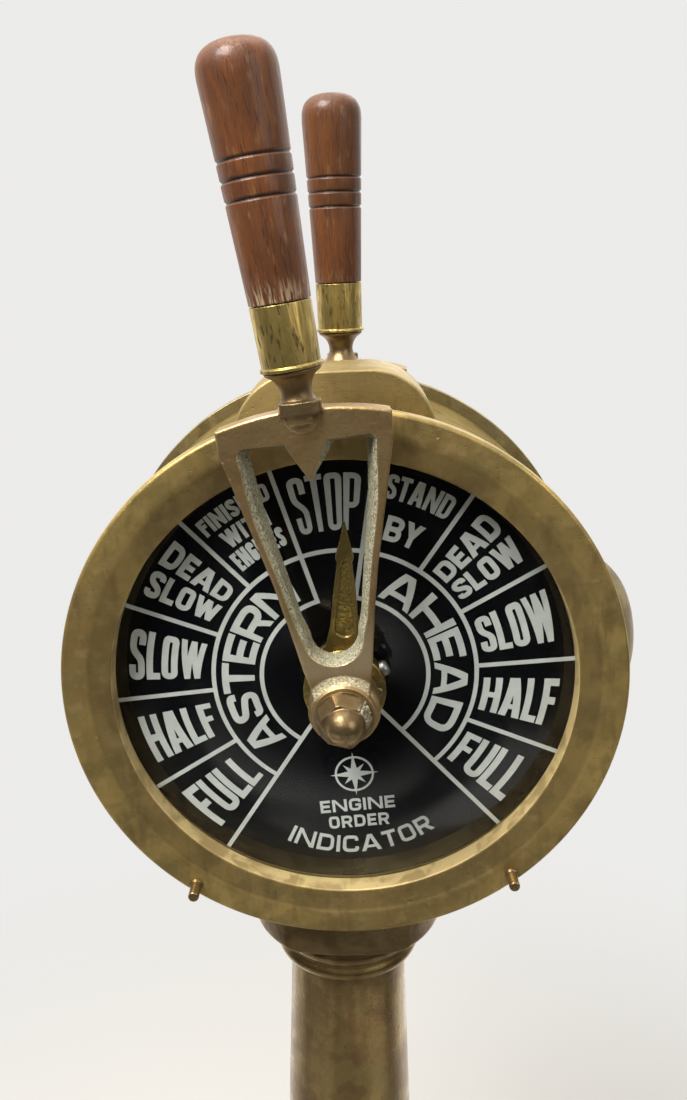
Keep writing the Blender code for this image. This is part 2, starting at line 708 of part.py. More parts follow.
def build_faces(looks, head):
    """Bezel, glass, dial, stop pins and bridge of both faces."""
    shapes = {
        "bezel": (bezel(), "aged_brass"),
        "glass": (disc(GLASS_DEPTH, 126.5 * MM, 10 * MM), "glass"),
        "stop_pin_left": (stop_pin(-PIN_ANGLE), "bright_brass"),
        "stop_pin_right": (stop_pin(PIN_ANGLE), "bright_brass"),
        "bridge": (side_bridge(), "iron"),
    }
    dial = disc(DIAL_DEPTH, 128.6 * MM, 10 * MM)
    plain_head = pivot("bridge_frame")
    for side, facing_back in (("front", False), ("back", True)):
        face = pivot(f"{side}_face_frame", 0, facing_back, head)
        upright = pivot(f"{side}_bridge_frame", 0, facing_back, plain_head)
        for part, (mesh, look) in shapes.items():
            parent = upright if part == "bridge" else face
            install(f"{side}_{part}", mesh, parent, looks[look])
        dial_frame = pivot(f"{side}_dial_frame", 0 if facing_back else DIAL_TURN, facing_back, head)
        install(f"{side}_dial", dial, dial_frame, looks["dial_black"])


def build_lever(looks, side, facing_back, turn, handle_lean, shared):
    """One order lever with its shaft, wheels and chain."""
    lever = pivot(f"{side}_lever_pivot", turn, facing_back)
    install(f"{side}_lever_casting", lever_casting(handle_lean), lever, looks["cast_brass"])
    install(f"{side}_lever_ferrule", lever_ferrule(handle_lean), lever, looks["bright_brass"])
    install(f"{side}_lever_grip", lever_grip(handle_lean), lever, looks["wood"])
    install(f"{side}_hub_washer", shared["washer"], lever, looks["cast_brass"])
    install(f"{side}_hub_nut", shared["nut"], lever, looks["cast_brass"])
    install(f"{side}_lever_shaft", shared["shaft"], lever, looks["steel"])
    drive = pivot(f"{side}_drive_pivot", 0, facing_back)
    install(f"{side}_order_sprocket", shared["order_sprocket"], drive, looks["steel"])
    install(f"{side}_star_wheel", shared["star"], drive, looks["steel"])
    install(f"{side}_order_chain_wrap", shared["wrap"], drive, looks["steel"])
    install(f"{side}_order_chain_left", shared["run_left"], drive, looks["steel"])
    install(f"{side}_order_chain_right", shared["run_right"], drive, looks["steel"])
    install(f"{side}_order_plunger", shared["plunger"], drive, looks["steel"])
    install(f"{side}_plunger_spring", shared["spring"], drive, looks["steel"])


def build_pointer(looks, side, facing_back, shared):
    """One reply pointer with its screw, sleeve and sprocket."""
    pointer = pivot(f"{side}_pointer_pivot", POINTER_TURN, facing_back)
    install(f"{side}_pointer", shared["pointer"], pointer, looks["bright_brass"])
    install(f"{side}_pointer_screw", shared["screw"], pointer, looks["steel"])
    install(f"{side}_pointer_sleeve", shared["sleeve"], pointer, looks["bright_brass"])
    install(f"{side}_reply_sprocket", shared["reply_sprocket"], pointer, looks["steel"])


def shared_shapes():
    """The pieces that both faces have alike."""
    return {
        "washer": hub_washer(),
        "nut": hub_nut(),
        "shaft": lever_shaft(),
        "order_sprocket": toothed_wheel(ORDER_SPROCKET_DEPTH, SHAFT_RADIUS + GAP),
        "star": star_wheel(),
        "wrap": chain_wrap(),
        "run_left": chain_run(-1),
        "run_right": chain_run(1),
        "plunger": order_plunger(),
        "spring": plunger_spring(),
        "pointer": reply_pointer(),
        "screw": clamp_screw(),
        "sleeve": pointer_sleeve(),
        "reply_sprocket": toothed_wheel(REPLY_SPROCKET_DEPTH, SLEEVE_RADIUS + GAP),
    }


def build():
    """Clears the scene and makes the whole telegraph."""
    for obj in list(bpy.data.objects):
        bpy.data.objects.remove(obj)
    looks = {
        "aged_brass": material("aged_brass", (0.34, 0.25, 0.11), 0.42, 1.0),
        "cast_brass": material("cast_brass", (0.42, 0.28, 0.15), 0.45, 1.0),
        "bright_brass": material("bright_brass", (0.52, 0.4, 0.14), 0.32, 1.0),
        "wood": material("wood", (0.24, 0.07, 0.03), 0.35, 0.0),
        "dial_black": material("dial_black", (0.006, 0.007, 0.012), 0.25, 0.0),
        "glass": material("glass", (0.95, 0.97, 0.97), 0.03, 0.0),
        "steel": material("steel", (0.48, 0.47, 0.45), 0.35, 1.0),
        "iron": material("iron", (0.12, 0.12, 0.12), 0.6, 1.0),
    }
    build_pedestal(looks)
    head = build_head(looks)
    build_faces(looks, head)
    shared = shared_shapes()
    build_lever(looks, "front", False, FRONT_LEVER_TURN, FRONT_HANDLE_LEAN, shared)
    build_lever(looks, "back", True, BACK_LEVER_TURN, BACK_HANDLE_LEAN, shared)
    build_pointer(looks, "front", False, shared)
    build_pointer(looks, "back", True, shared)


build()
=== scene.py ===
import json
from math import asin, cos, pi, radians, sin

import bmesh
import bpy
from mathutils import Matrix, Vector, noise
from mathutils.geometry import delaunay_2d_cdt


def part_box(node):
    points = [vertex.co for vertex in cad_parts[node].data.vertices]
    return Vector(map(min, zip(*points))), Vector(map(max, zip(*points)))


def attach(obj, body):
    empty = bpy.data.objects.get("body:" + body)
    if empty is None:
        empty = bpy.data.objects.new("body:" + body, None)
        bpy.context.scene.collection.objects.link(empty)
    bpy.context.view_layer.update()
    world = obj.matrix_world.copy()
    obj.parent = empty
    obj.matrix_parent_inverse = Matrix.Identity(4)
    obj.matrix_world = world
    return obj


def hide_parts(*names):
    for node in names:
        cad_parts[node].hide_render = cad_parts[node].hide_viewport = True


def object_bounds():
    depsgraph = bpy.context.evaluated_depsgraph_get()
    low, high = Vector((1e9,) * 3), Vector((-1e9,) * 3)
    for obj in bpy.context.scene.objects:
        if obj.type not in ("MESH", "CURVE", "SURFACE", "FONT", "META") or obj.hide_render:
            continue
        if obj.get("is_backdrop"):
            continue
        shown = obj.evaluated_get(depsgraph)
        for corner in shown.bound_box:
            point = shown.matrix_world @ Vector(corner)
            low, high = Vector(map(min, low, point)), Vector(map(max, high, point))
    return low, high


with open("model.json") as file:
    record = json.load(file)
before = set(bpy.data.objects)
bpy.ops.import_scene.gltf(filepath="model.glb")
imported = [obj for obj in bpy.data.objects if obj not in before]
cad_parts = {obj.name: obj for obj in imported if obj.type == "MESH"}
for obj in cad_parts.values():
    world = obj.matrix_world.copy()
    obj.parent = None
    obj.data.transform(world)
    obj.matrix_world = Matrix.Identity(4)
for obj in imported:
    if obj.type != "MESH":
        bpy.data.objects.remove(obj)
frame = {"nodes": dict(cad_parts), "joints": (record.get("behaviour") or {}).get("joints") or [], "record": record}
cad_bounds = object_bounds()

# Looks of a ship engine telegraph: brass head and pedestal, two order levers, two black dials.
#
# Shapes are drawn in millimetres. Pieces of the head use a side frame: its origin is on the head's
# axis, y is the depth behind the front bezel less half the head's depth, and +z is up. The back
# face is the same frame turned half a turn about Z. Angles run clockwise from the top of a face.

MM = 0.001
RECORD = frame["record"]
JOINTS = {joint["name"]: joint for joint in frame["joints"]}
BODY_OF = {node: body for body, nodes in RECORD["behaviour"]["bodies"].items() for node in nodes}
SLOT_OF = {part["node"]: part["material_slot"] for part in RECORD["subparts"]}

# Driving places, taken from the frame.
AXIS_HEIGHT = JOINTS["front_lever_turn"]["pos_m"][2] / MM
HALF_DEPTH = -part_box("front_bezel")[0].y / MM
COLUMN_LOW, COLUMN_HIGH = (corner.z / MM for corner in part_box("column"))
COLUMN_FOOT_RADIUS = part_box("column")[1].x / MM
COLLAR_LOW, COLLAR_HIGH = (corner.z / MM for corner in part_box("collar"))

# How the head and what it carries stand at rest.
HEAD_TURN = radians(-2.0)
DIAL_TURN = radians(-3.45)
LEVER_TURN = {"front": radians(-7.0), "back": radians(0.5)}
HANDLE_LEAN = {"front": radians(-2.2), "back": radians(1.4)}
POINTER_TURN = radians(0.3)
SIDES = ("front", "back")

# Sizes of the head, in millimetres.
DRUM_RADIUS = 143
DRUM_WALL = 4
FLANGE = 9.8
COLUMN_TOP_RADIUS = 36.8
DUCT_RADIUS = 32.5
GLASS_DEPTHS, GLASS_RADIUS = (15.1, 18.1), 126.5
DIAL_DEPTHS, DIAL_RADIUS = (21.65, 23.65), 128.6
MARK_DEPTHS = (21.5, 21.62)
SHAFT_HOLE = 10
SADDLE_FOOT = 191
SHAFT_RADIUS = 7
HANDLE_DEPTH = -16.5
LEAN_HEIGHT = 127
TANG_RADIUS = 5
TANG_TOP = 285
FERRULE_FOOT = 173
FERRULE_RADIUS = 14.45
GRIP_FOOT = 203
GRIP_WIDEST = 299
GRIP_WIDEST_RADIUS = 18.1
GRIP_TOP = 312.8
GRIP_GROOVES = (248, 256.6, 265)
CROSSBAR_RADIUS = 155
CROSSBAR_HALF_WIDTH = 41.6
LEVER_FRONT, LEVER_BACK = -25, -10
PIN_CIRCLE = 144.5
PIN_ANGLE = radians(142.3)
HOLD_DOWN_CIRCLE = 152
HOLD_DOWN_ANGLE = 41.25
CLAMP_ANGLE = radians(61)
GAP = 0.3

FINE = 0.46
ROUND = 200


# ---------------------------------------------------------------- shapes

def behind(depth):
    """The side frame's y at a depth behind the bezel's front plane."""
    return depth - HALF_DEPTH


def polar(radius, angle):
    """The x and z of a point at a clockwise angle from the top."""
    return radius * sin(angle), radius * cos(angle)


def mesh_of(verts, faces):
    """A closed mesh from points and faces, without loose points, its faces turned to point out."""
    mesh = bpy.data.meshes.new("shape")
    mesh.from_pydata(verts, [], faces)
    bm = bmesh.new()
    bm.from_mesh(mesh)
    loose = [vertex for vertex in bm.verts if not vertex.link_faces]
    bmesh.ops.delete(bm, geom=loose, context="VERTS")
    bmesh.ops.recalc_face_normals(bm, faces=bm.faces)
    bm.to_mesh(mesh)
    bm.free()
    return mesh


def soften(points, closed=True, steps=5):
    """Rounds a path's corners: a curve starts and ends a reach from its corner, given as (x, y, reach)."""
    path = []
    count = len(points)
    for index, point in enumerate(points):
        corner = Vector(point[:2])
        reach = point[2] if len(point) > 2 else 0
        at_end = not closed and index in (0, count - 1)
        if reach == 0 or at_end:
            path.append(tuple(corner))
            continue
        before = Vector(points[index - 1][:2]) - corner
        after = Vector(points[(index + 1) % count][:2]) - corner
        start = corner + before.normalized() * min(reach, before.length * 0.49)
        end = corner + after.normalized() * min(reach, after.length * 0.49)
        for step in range(steps + 1):
            t = step / steps
            spot = start * (1 - t) ** 2 + corner * 2 * t * (1 - t) + end * t * t
            path.append(tuple(spot))
    return path


def lathe(profile, along="Z", segments=None):
    """Turns (radius, station) points about an axis: a ring, or a solid where both ends have radius 0."""
    segments = segments or ROUND
    solid = profile[0][0] < 1e-6
    ring = profile[1:-1] if solid else profile
    count = len(ring)
    verts = []
    for step in range(segments):
        angle = 2 * pi * step / segments
        verts += [(r * cos(angle), r * sin(angle), s) for r, s in ring]
    faces = []
    for step in range(segments):
        here, there = step * count, (step + 1) % segments * count
        for index in range(count - 1 if solid else count):
            after = (index + 1) % count
            faces.append((here + index, here + after, there + after, there + index))
        if solid:
            faces.append((here, there, segments * count))
            faces.append((here + count - 1, there + count - 1, segments * count + 1))
    if solid:
        verts += [(0, 0, profile[0][1]), (0, 0, profile[-1][1])]
    mesh = mesh_of(verts, faces)
    if along == "Y":
        mesh.transform(Matrix.Rotation(-pi / 2, 4, "X"))
    if along == "X":
        mesh.transform(Matrix.Rotation(pi / 2, 4, "Y"))
    return mesh


def turned(profile, segments=None):
    """Turns (radius, depth) points about the head's axis."""
    return lathe([(radius, behind(depth)) for radius, depth in profile], "Y", segments)


def loft(sections, along="Y"):
    """Joins outlines of (x, z) points, each at its own y, into a closed block; Z swaps y and z."""
    count = len(sections[0][1])
    verts = [(x, y, z) if along == "Y" else (x, z, y) for y, outline in sections for x, z in outline]
    faces = [tuple(range(count)), tuple(range(len(verts) - count, len(verts)))]
    for level in range(len(sections) - 1):
        for index in range(count):
            after = (index + 1) % count
            low = level * count
            faces.append((low + index, low + after, low + count + after, low + count + index))
    return mesh_of(verts, faces)


def prism(outline, front, back):
    """An outline of (x, z) points, from one y to another."""
    return loft([(front, outline), (back, outline)])


def block(x_range, y_range, z_range):
    """A rectangular block."""
    (left, right), (low, high) = x_range, z_range
    return prism([(left, low), (right, low), (right, high), (left, high)], *y_range)


def rod(radius, front, back, centre=(0, 0), segments=64):
    """A cylinder along Y."""
    mesh = lathe([(0, front), (radius, front), (radius, back), (0, back)], "Y", segments)
    return moved(mesh, (centre[0], 0, centre[1]))


def moved(mesh, offset):
    """Shifts a mesh."""
    mesh.transform(Matrix.Translation(offset))
    return mesh


def spun(mesh, angle, axis="Y"):
    """Turns a mesh about an axis through the origin."""
    mesh.transform(Matrix.Rotation(angle, 4, axis))
    return mesh


def arc(radius, start, end, steps, centre=(0, 0)):
    """Points of a circle between two clockwise angles from the top."""
    points = []
    for index in range(steps + 1):
        x, z = polar(radius, start + (end - start) * index / steps)
        points.append((centre[0] + x, centre[1] + z))
    return points


def mirrored(half):
    """Completes an outline from its right half, listed from the bottom to the top."""
    return half + [(-x, z) for x, z in reversed(half) if x > 1e-9]


def with_modifiers(mesh, *settings):
    """Applies modifiers, each given as (type, {property: value}), and returns the new mesh."""
    obj = bpy.data.objects.new("work", mesh)
    bpy.context.scene.collection.objects.link(obj)
    for kind, values in settings:
        modifier = obj.modifiers.new(kind, kind)
        for key, value in values.items():
            setattr(modifier, key, value)
    bpy.context.view_layer.update()
    graph = bpy.context.evaluated_depsgraph_get()
    result = bpy.data.meshes.new_from_object(obj.evaluated_get(graph))
    bpy.data.objects.remove(obj)
    return result


def boolean(mesh, tool, operation):
    """An exact Boolean of two meshes."""
    other = bpy.data.objects.new("tool", tool)
    bpy.context.scene.collection.objects.link(other)
    values = {"operation": operation, "object": other, "solver": "EXACT"}
    result = with_modifiers(mesh, ("BOOLEAN", values))
    bpy.data.objects.remove(other)
    return result


def cut(mesh, *tools):
    """Takes each tool away from the mesh."""
    for tool in tools:
        mesh = boolean(mesh, tool, "DIFFERENCE")
    return mesh


def fuse(mesh, *others):
    """Adds each other mesh to the first one."""
    for other in others:
        mesh = boolean(mesh, other, "UNION")
    return mesh


def together(meshes):
    """Puts several meshes into one, without joining their surfaces."""
    bm = bmesh.new()
    for mesh in meshes:
        bm.from_mesh(mesh)
    whole = bpy.data.meshes.new("shape")
    bm.to_mesh(whole)
    bm.free()
    return whole


def melt(meshes, voxel, passes):
    """Fuses closed meshes into one skin with the soft edges of a casting."""
    remesh = ("REMESH", {"mode": "VOXEL", "voxel_size": voxel, "adaptivity": 0.0})
    smooth = ("SMOOTH", {"factor": 0.5, "iterations": passes})
    return with_modifiers(together(meshes), remesh, smooth)


def roughen(mesh, size, depth, seed=0.0):
    """Moves the surface in and out by smooth noise of a feature size."""
    shift = Vector((seed, seed * 1.7, seed * 0.3))
    normals = [vertex.normal.copy() for vertex in mesh.vertices]
    for vertex, normal in zip(mesh.vertices, normals):
        vertex.co += normal * depth * noise.noise(vertex.co / size + shift)
    return mesh


# ---------------------------------------------------------------- places and pieces

def side_frame(turn=0.0, side="front", on_head=False):
    """Where the side frame of one face stands, in metres."""
    base = Matrix.Translation((0, 0, AXIS_HEIGHT * MM))
    if on_head:
        base = base @ Matrix.Rotation(HEAD_TURN, 4, "Y")
    facing = Matrix.Rotation(pi if side == "back" else 0, 4, "Z")
    return base @ facing @ Matrix.Rotation(turn, 4, "Y")


HEAD = side_frame(on_head=True)
UPRIGHT = side_frame()
GROUND = Matrix()


def piece(name, mesh, body, look, where, slot, smooth_angle=38):
    """Makes a shown piece of a mesh drawn in millimetres, riding on a body."""
    mesh.transform(Matrix.Scale(MM, 4))
    mesh.materials.clear()
    mesh.materials.append(look)
    mesh.shade_smooth()
    mesh.set_sharp_from_angle(angle=radians(smooth_angle))
    mesh.name = name
    obj = bpy.data.objects.new(name, mesh)
    bpy.context.scene.collection.objects.link(obj)
    obj.matrix_world = where
    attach(obj, body)
    return obj


def stand_in(node, mesh, look, where, smooth_angle=38):
    """A finely made piece that is shown instead of one CAD node."""
    obj = piece(f"{node}_fine", mesh, BODY_OF[node], look, where, SLOT_OF[node], smooth_angle)
    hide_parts(node)
    return obj


# ---------------------------------------------------------------- materials

class Nodes:
    """Builds a node tree."""

    def __init__(self, tree):
        self.tree = tree

    def add(self, kind, inputs=None, **settings):
        """Adds a node, sets its properties, and sets or links its inputs."""
        made = self.tree.nodes.new(kind)
        for key, value in settings.items():
            setattr(made, key, value)
        for key, value in (inputs or {}).items():
            self.feed(made.inputs[key], value)
        return made

    def feed(self, socket, value):
        """Links a socket to an output, or gives it a value."""
        if isinstance(value, bpy.types.NodeSocket):
            self.tree.links.new(value, socket)
        else:
            socket.default_value = value

    def math(self, operation, first, second=0.0, clamp=False):
        """One arithmetic step."""
        made = self.add("ShaderNodeMath", operation=operation, use_clamp=clamp)
        self.feed(made.inputs[0], first)
        self.feed(made.inputs[1], second)
        return made.outputs[0]

    def span(self, value, low, high, start=0.0, end=1.0):
        """Maps a value from one span to another, clamped and eased."""
        inputs = {"Value": value, "From Min": low, "From Max": high, "To Min": start, "To Max": end}
        return self.add("ShaderNodeMapRange", inputs, interpolation_type="SMOOTHSTEP").outputs[0]

    def parts(self, vector):
        """The x, y and z of a vector."""
        return self.add("ShaderNodeSeparateXYZ", {"Vector": vector}).outputs


class Shader(Nodes):
    """Builds one procedural material."""

    def __init__(self, name):
        self.material = bpy.data.materials.new(name)
        self.material.use_nodes = True
        super().__init__(self.material.node_tree)
        self.surface = self.tree.nodes["Principled BSDF"]
        self.place = self.add("ShaderNodeTexCoord").outputs["Object"]

    def finish(self, **inputs):
        """Sets the surface's inputs, named with underscores for spaces."""
        for key, value in inputs.items():
            self.feed(self.surface.inputs[key.replace("_", " ")], value)
        return self.material

    def grain(self, scale, low=0.4, high=0.6, stretch=(1, 1, 1), detail=4.0, twist=0.0):
        """Noise of so many features a metre, with its contrast set by two limits."""
        place = self.add("ShaderNodeVectorMath", operation="MULTIPLY")
        self.feed(place.inputs[0], self.place)
        place.inputs[1].default_value = stretch
        inputs = {"Vector": place.outputs[0], "Scale": scale, "Detail": detail, "Distortion": twist}
        made = self.add("ShaderNodeTexNoise", inputs)
        return self.span(made.outputs["Fac"], low, high)

    def mix(self, share, first, second):
        """A mix of two colours."""
        made = self.add("ShaderNodeMix", data_type="RGBA")
        self.feed(made.inputs[0], share)
        for socket, colour in ((made.inputs[6], first), (made.inputs[7], second)):
            self.feed(socket, colour if isinstance(colour, bpy.types.NodeSocket) else (*colour, 1))
        return made.outputs[2]

    def coats(self, colour, *coats):
        """Lays coats of colour over the first one, each as (mask, share, colour)."""
        for mask, share, over in coats:
            colour = self.mix(self.math("MULTIPLY", mask, share), colour, over)
        return colour

    def radius(self, axis):
        """The distance from an axis."""
        parts = self.parts(self.place)
        squares = [self.math("MULTIPLY", parts[name], parts[name]) for name in "XYZ" if name != axis]
        return self.math("SQRT", self.math("ADD", *squares))

    def turning(self, axis, lines):
        """Fine rings about an axis, as a lathe tool leaves them: so many lines a metre."""
        station = self.math("ADD", self.radius(axis), self.parts(self.place)[axis])
        inputs = {"W": station, "Scale": lines, "Detail": 3.0}
        return self.add("ShaderNodeTexNoise", inputs, noise_dimensions="1D").outputs["Fac"]

    def nicks(self, scale, reach):
        """Small scattered dents: the middles of a few cells, so many cells a metre."""
        cells = self.add("ShaderNodeTexVoronoi", {"Vector": self.place, "Scale": scale})
        near = self.span(cells.outputs["Distance"], reach * scale, reach * scale * 0.4)
        chosen = self.add("ShaderNodeSeparateColor", {0: cells.outputs["Color"]}).outputs[0]
        return self.math("MULTIPLY", near, self.math("GREATER_THAN", chosen, 0.8))

    def edges(self, width, strength=6.0):
        """Finds outer edges for wear, from how far a rounded normal leans from the true one."""
        soft = self.add("ShaderNodeBevel", {"Radius": width}, samples=4)
        true = self.add("ShaderNodeNewGeometry").outputs["Normal"]
        dot = self.add("ShaderNodeVectorMath", operation="DOT_PRODUCT")
        self.feed(dot.inputs[0], soft.outputs[0])
        self.feed(dot.inputs[1], true)
        return self.math("MULTIPLY", self.math("SUBTRACT", 1.0, dot.outputs["Value"]), strength, True)

    def relief(self, *layers):
        """Stacks reliefs, each as (height, depth in millimetres) and perhaps a strength."""
        inputs = {}
        for height, depth, *strength in layers:
            inputs.update({"Height": height, "Distance": depth * MM, "Strength": (strength or [1.0])[0]})
            inputs["Normal"] = self.add("ShaderNodeBump", inputs).outputs[0]
        return inputs["Normal"]


def aged_brass(name, axis, gold, brown, ring=False, sheen=0.0, metal=0.78, ridges=0.05,
               specular=0.5, tint=(1, 1, 1, 1)):
    """Brass gone brown and olive, turned about an axis, with spots, dents and rubbed edges.

    ring adds a bezel's own marks and a painted shade on its sloping inner zone, and ridges is the height of the
    tool's marks in millimetres.
    """
    shader = Shader(name)
    clouds = shader.grain(18, 0.36, 0.64, detail=8, twist=0.8)
    patches = shader.grain(70, 0.45, 0.62, detail=6, twist=0.4)
    spots = shader.grain(600, 0.64, 0.72, detail=2)
    smears = shader.grain(150, 0.5, 0.72, stretch=(1, 1, 0.25))
    rings = shader.turning(axis, 900)
    nicks = shader.nicks(75, 0.9 * MM)
    edge = shader.math("MULTIPLY", shader.edges(1.0 * MM), shader.grain(160, 0.3, 0.6))
    scratches = [
        (shader.grain(1100, 0.66, 0.72, stretch=stretch, detail=2, twist=0.3), 0.2, (0.55, 0.44, 0.24))
        for stretch in ((1, 1, 0.03), (0.03, 1, 1))
    ]
    colour = shader.coats(
        shader.mix(clouds, brown, gold),
        (patches, 0.5, (0.30, 0.235, 0.085)),
        (smears, 0.4, (0.15, 0.10, 0.04)),
        (spots, 0.35, (0.08, 0.055, 0.025)),
        *scratches,
        (nicks, 0.55, (0.52, 0.42, 0.24)),
        (edge, 0.45, (0.55, 0.42, 0.20)),
    )
    if ring:
        radius = shader.radius(axis)
        inside = shader.math("LESS_THAN", radius, 124.3 * MM)
        colour = shader.coats(
            colour,
            (shader.grain(42, 0.42, 0.66, detail=9), 0.42, (0.165, 0.118, 0.042)),
            (shader.grain(130, 0.50, 0.72, detail=6), 0.35, (0.60, 0.45, 0.19)),
            # painted shade: the sloping zone inside the step is darkened all round
            (shader.span(radius, 137.2 * MM, 134.6 * MM), 0.35, (0.17, 0.115, 0.05)),
            (inside, 0.9, shader.mix(patches, (0.60, 0.46, 0.21), (0.36, 0.26, 0.11))),
        )
        metal = shader.span(inside, 0, 1, metal, 0.25)
    rough = shader.span(clouds, 0, 1, 0.48 - sheen, 0.36 - sheen)
    rough = shader.math("ADD", rough, shader.math("MULTIPLY", rings, 2 * ridges))
    rough = shader.math("SUBTRACT", rough, shader.math("MULTIPLY", edge, 0.12))
    skin = shader.grain(260, 0.3, 0.7)
    relief = shader.relief((rings, ridges), (skin, 0.06), (spots, -0.06), (nicks, -0.15))
    surface = {"Base_Color": colour, "Metallic": metal, "Roughness": rough, "Normal": relief}
    return shader.finish(Specular_IOR_Level=specular, Specular_Tint=tint, **surface)


def cast_brass(name, tan=(0.50, 0.345, 0.162), brown=(0.30, 0.20, 0.088), rubbed=0.75, sheen=0.4,
               hub_painted_highlight=0.0):
    """Hand-worn cast brass: warm, uneven, with pale rough walls where no hand reaches, painted shade in its
    hollows and, where asked, a painted highlight above the hub.
    """
    shader = Shader(name)
    clouds = shader.grain(45, 0.34, 0.66, detail=6, twist=0.5)
    spots = shader.grain(900, 0.62, 0.72, detail=2)
    skin = shader.grain(420, 0.3, 0.7, detail=5)
    nicks = shader.nicks(110, 0.7 * MM)
    sharp = shader.add("ShaderNodeNewGeometry").outputs["Pointiness"]
    worn = shader.math("MULTIPLY", shader.span(sharp, 0.52, 0.57), shader.grain(260, 0.3, 0.55))
    # painted shade: concave creases, found by low pointiness, are darkened
    hollow = shader.span(sharp, 0.495, 0.44)
    walls = shader.add("ShaderNodeAttribute", attribute_name="walls").outputs["Fac"]
    crust = shader.grain(900, 0.30, 0.70, detail=8)
    lumps = shader.grain(240, 0.35, 0.65, detail=5)
    pale = shader.mix(crust, (0.13, 0.125, 0.07), (0.66, 0.62, 0.46))
    across, _, height = shader.parts(shader.place)
    # painted highlight: a pale cream band on the plate between the hub and the window
    painted_highlight = shader.span(height, 16 * MM, 24 * MM)
    painted_highlight = shader.math("MULTIPLY", painted_highlight, shader.span(height, 58 * MM, 28 * MM))
    boss = shader.span(shader.math("ABSOLUTE", across), 10.8 * MM, 9.2 * MM)
    boss = shader.math("MULTIPLY", boss, shader.span(height, 150.5 * MM, 152.5 * MM, 0, 0.6))
    neck = shader.math("MAXIMUM", boss, shader.span(height, 154 * MM, 158 * MM, 0, 0.65))
    colour = shader.coats(
        shader.mix(clouds, brown, tan),
        (spots, 0.5, (0.09, 0.06, 0.03)),
        (hollow, 0.75, (0.09, 0.065, 0.035)),
        (nicks, 0.5, (0.55, 0.45, 0.28)),
        (worn, rubbed, (0.60, 0.47, 0.29)),
        (walls, 1, shader.coats(pale, (lumps, 0.5, (0.30, 0.28, 0.17)))),
        (painted_highlight, shader.span(walls, 0.2, 0.0, 0, hub_painted_highlight), (0.80, 0.66, 0.42)),
        (neck, 1, (0.13, 0.092, 0.048)),
    )
    dull = shader.math("MULTIPLY", walls, 0.2)
    rough = shader.math("ADD", shader.span(clouds, 0, 1, sheen + 0.06, sheen - 0.04), dull)
    metal = shader.span(walls, 0, 1, 0.85, 0.35)
    crusted = shader.math("MULTIPLY", walls, 0.9)
    relief = shader.relief((skin, 0.04), (lumps, 0.05), (nicks, -0.12), (crust, 0.3, crusted))
    return shader.finish(Base_Color=colour, Metallic=metal, Roughness=rough, Normal=relief)


def ferrule_brass(name):
    """Yellow-brown brass tube with dark pits drawn out along it."""
    shader = Shader(name)
    streaks = shader.grain(600, 0.38, 0.64, stretch=(1, 1, 0.10), detail=6)
    pits = shader.grain(520, 0.52, 0.70, stretch=(1, 1, 0.25), detail=8)
    clouds = shader.grain(110, 0.38, 0.62, stretch=(1, 1, 0.5), detail=6)
    edge = shader.edges(0.7 * MM)
    colour = shader.coats(
        shader.mix(streaks, (0.32, 0.22, 0.065), (0.66, 0.49, 0.16)),
        (clouds, 0.6, (0.34, 0.26, 0.085)),
        (pits, 0.8, (0.07, 0.048, 0.022)),
        (edge, 0.25, (0.60, 0.50, 0.28)),
    )
    rough = shader.span(streaks, 0, 1, 0.44, 0.32)
    relief = shader.relief((streaks, 0.05), (pits, -0.15))
    return shader.finish(Base_Color=colour, Metallic=0.85, Roughness=rough, Normal=relief)


def turned_wood(name, flecks, tone=1.0):
    """Oiled reddish hardwood, its grain along the handle, worn pale in flecks, with painted shade in the grooves.
    """
    shader = Shader(name)
    height = shader.parts(shader.place)["Z"]
    bands = shader.grain(190, 0.34, 0.66, stretch=(1, 1, 0.08), detail=6, twist=0.6)
    fibres = shader.grain(2000, 0.35, 0.65, stretch=(1, 1, 0.04), detail=5)
    pores = shader.grain(1700, 0.58, 0.68, stretch=(1, 1, 0.05), detail=2)
    stains = shader.grain(45, 0.42, 0.68, stretch=(1, 1, 0.5), detail=6)
    worn = shader.grain(330, 0.58, 0.72, stretch=(1, 1, 0.30), detail=7)
    colour = shader.coats(
        shader.mix(bands, (0.115, 0.036, 0.011), (0.18, 0.061, 0.018)),
        (fibres, 0.4, (0.21, 0.082, 0.030)),
        (pores, 0.7, (0.035, 0.012, 0.006)),
        (stains, 0.5, (0.05, 0.019, 0.009)),
        (worn, 0.4, (0.28, 0.15, 0.065)),
    )
    # painted shade: the middle of each V groove is darkened
    for groove in GRIP_GROOVES:
        off = shader.math("ABSOLUTE", shader.math("SUBTRACT", height, groove * MM))
        inside = shader.span(off, 0.75 * MM, 0.3 * MM)
        colour = shader.coats(colour, (inside, 0.8, (0.02, 0.009, 0.005)))
    foot = shader.span(height, (GRIP_FOOT + 13) * MM, (GRIP_FOOT + 1) * MM)
    streaks = shader.grain(900, 0.46, 0.60, stretch=(1, 1, 0.12), detail=5)
    bare = shader.math("MULTIPLY", foot, streaks)
    colour = shader.coats(colour, (bare, flecks, (0.55, 0.42, 0.27)))
    colour = shader.mix(1 - tone, colour, (0.03, 0.014, 0.006))
    relief = shader.relief((fibres, 0.04), (pores, -0.07), (worn, 0.05))
    gloss = shader.span(bands, 0, 1, 0.52, 0.40)
    return shader.finish(
        Base_Color=colour, Roughness=gloss, Normal=relief, Specular_IOR_Level=0.3,
        Coat_Weight=0.22, Coat_Roughness=0.16
    )


def plain_metal(name, dark, light, rough, scale=220):
    """Machined or cast metal inside the head: a fine grain between two tones."""
    shader = Shader(name)
    tone = shader.grain(scale, 0.35, 0.65, detail=5)
    fine = shader.grain(scale * 5, 0.4, 0.6, detail=3)
    colour = shader.mix(tone, dark, light)
    gloss = shader.span(tone, 0, 1, rough + 0.08, rough - 0.05)
    relief = shader.relief((fine, 0.03))
    return shader.finish(Base_Color=colour, Metallic=1.0, Roughness=gloss, Normal=relief)


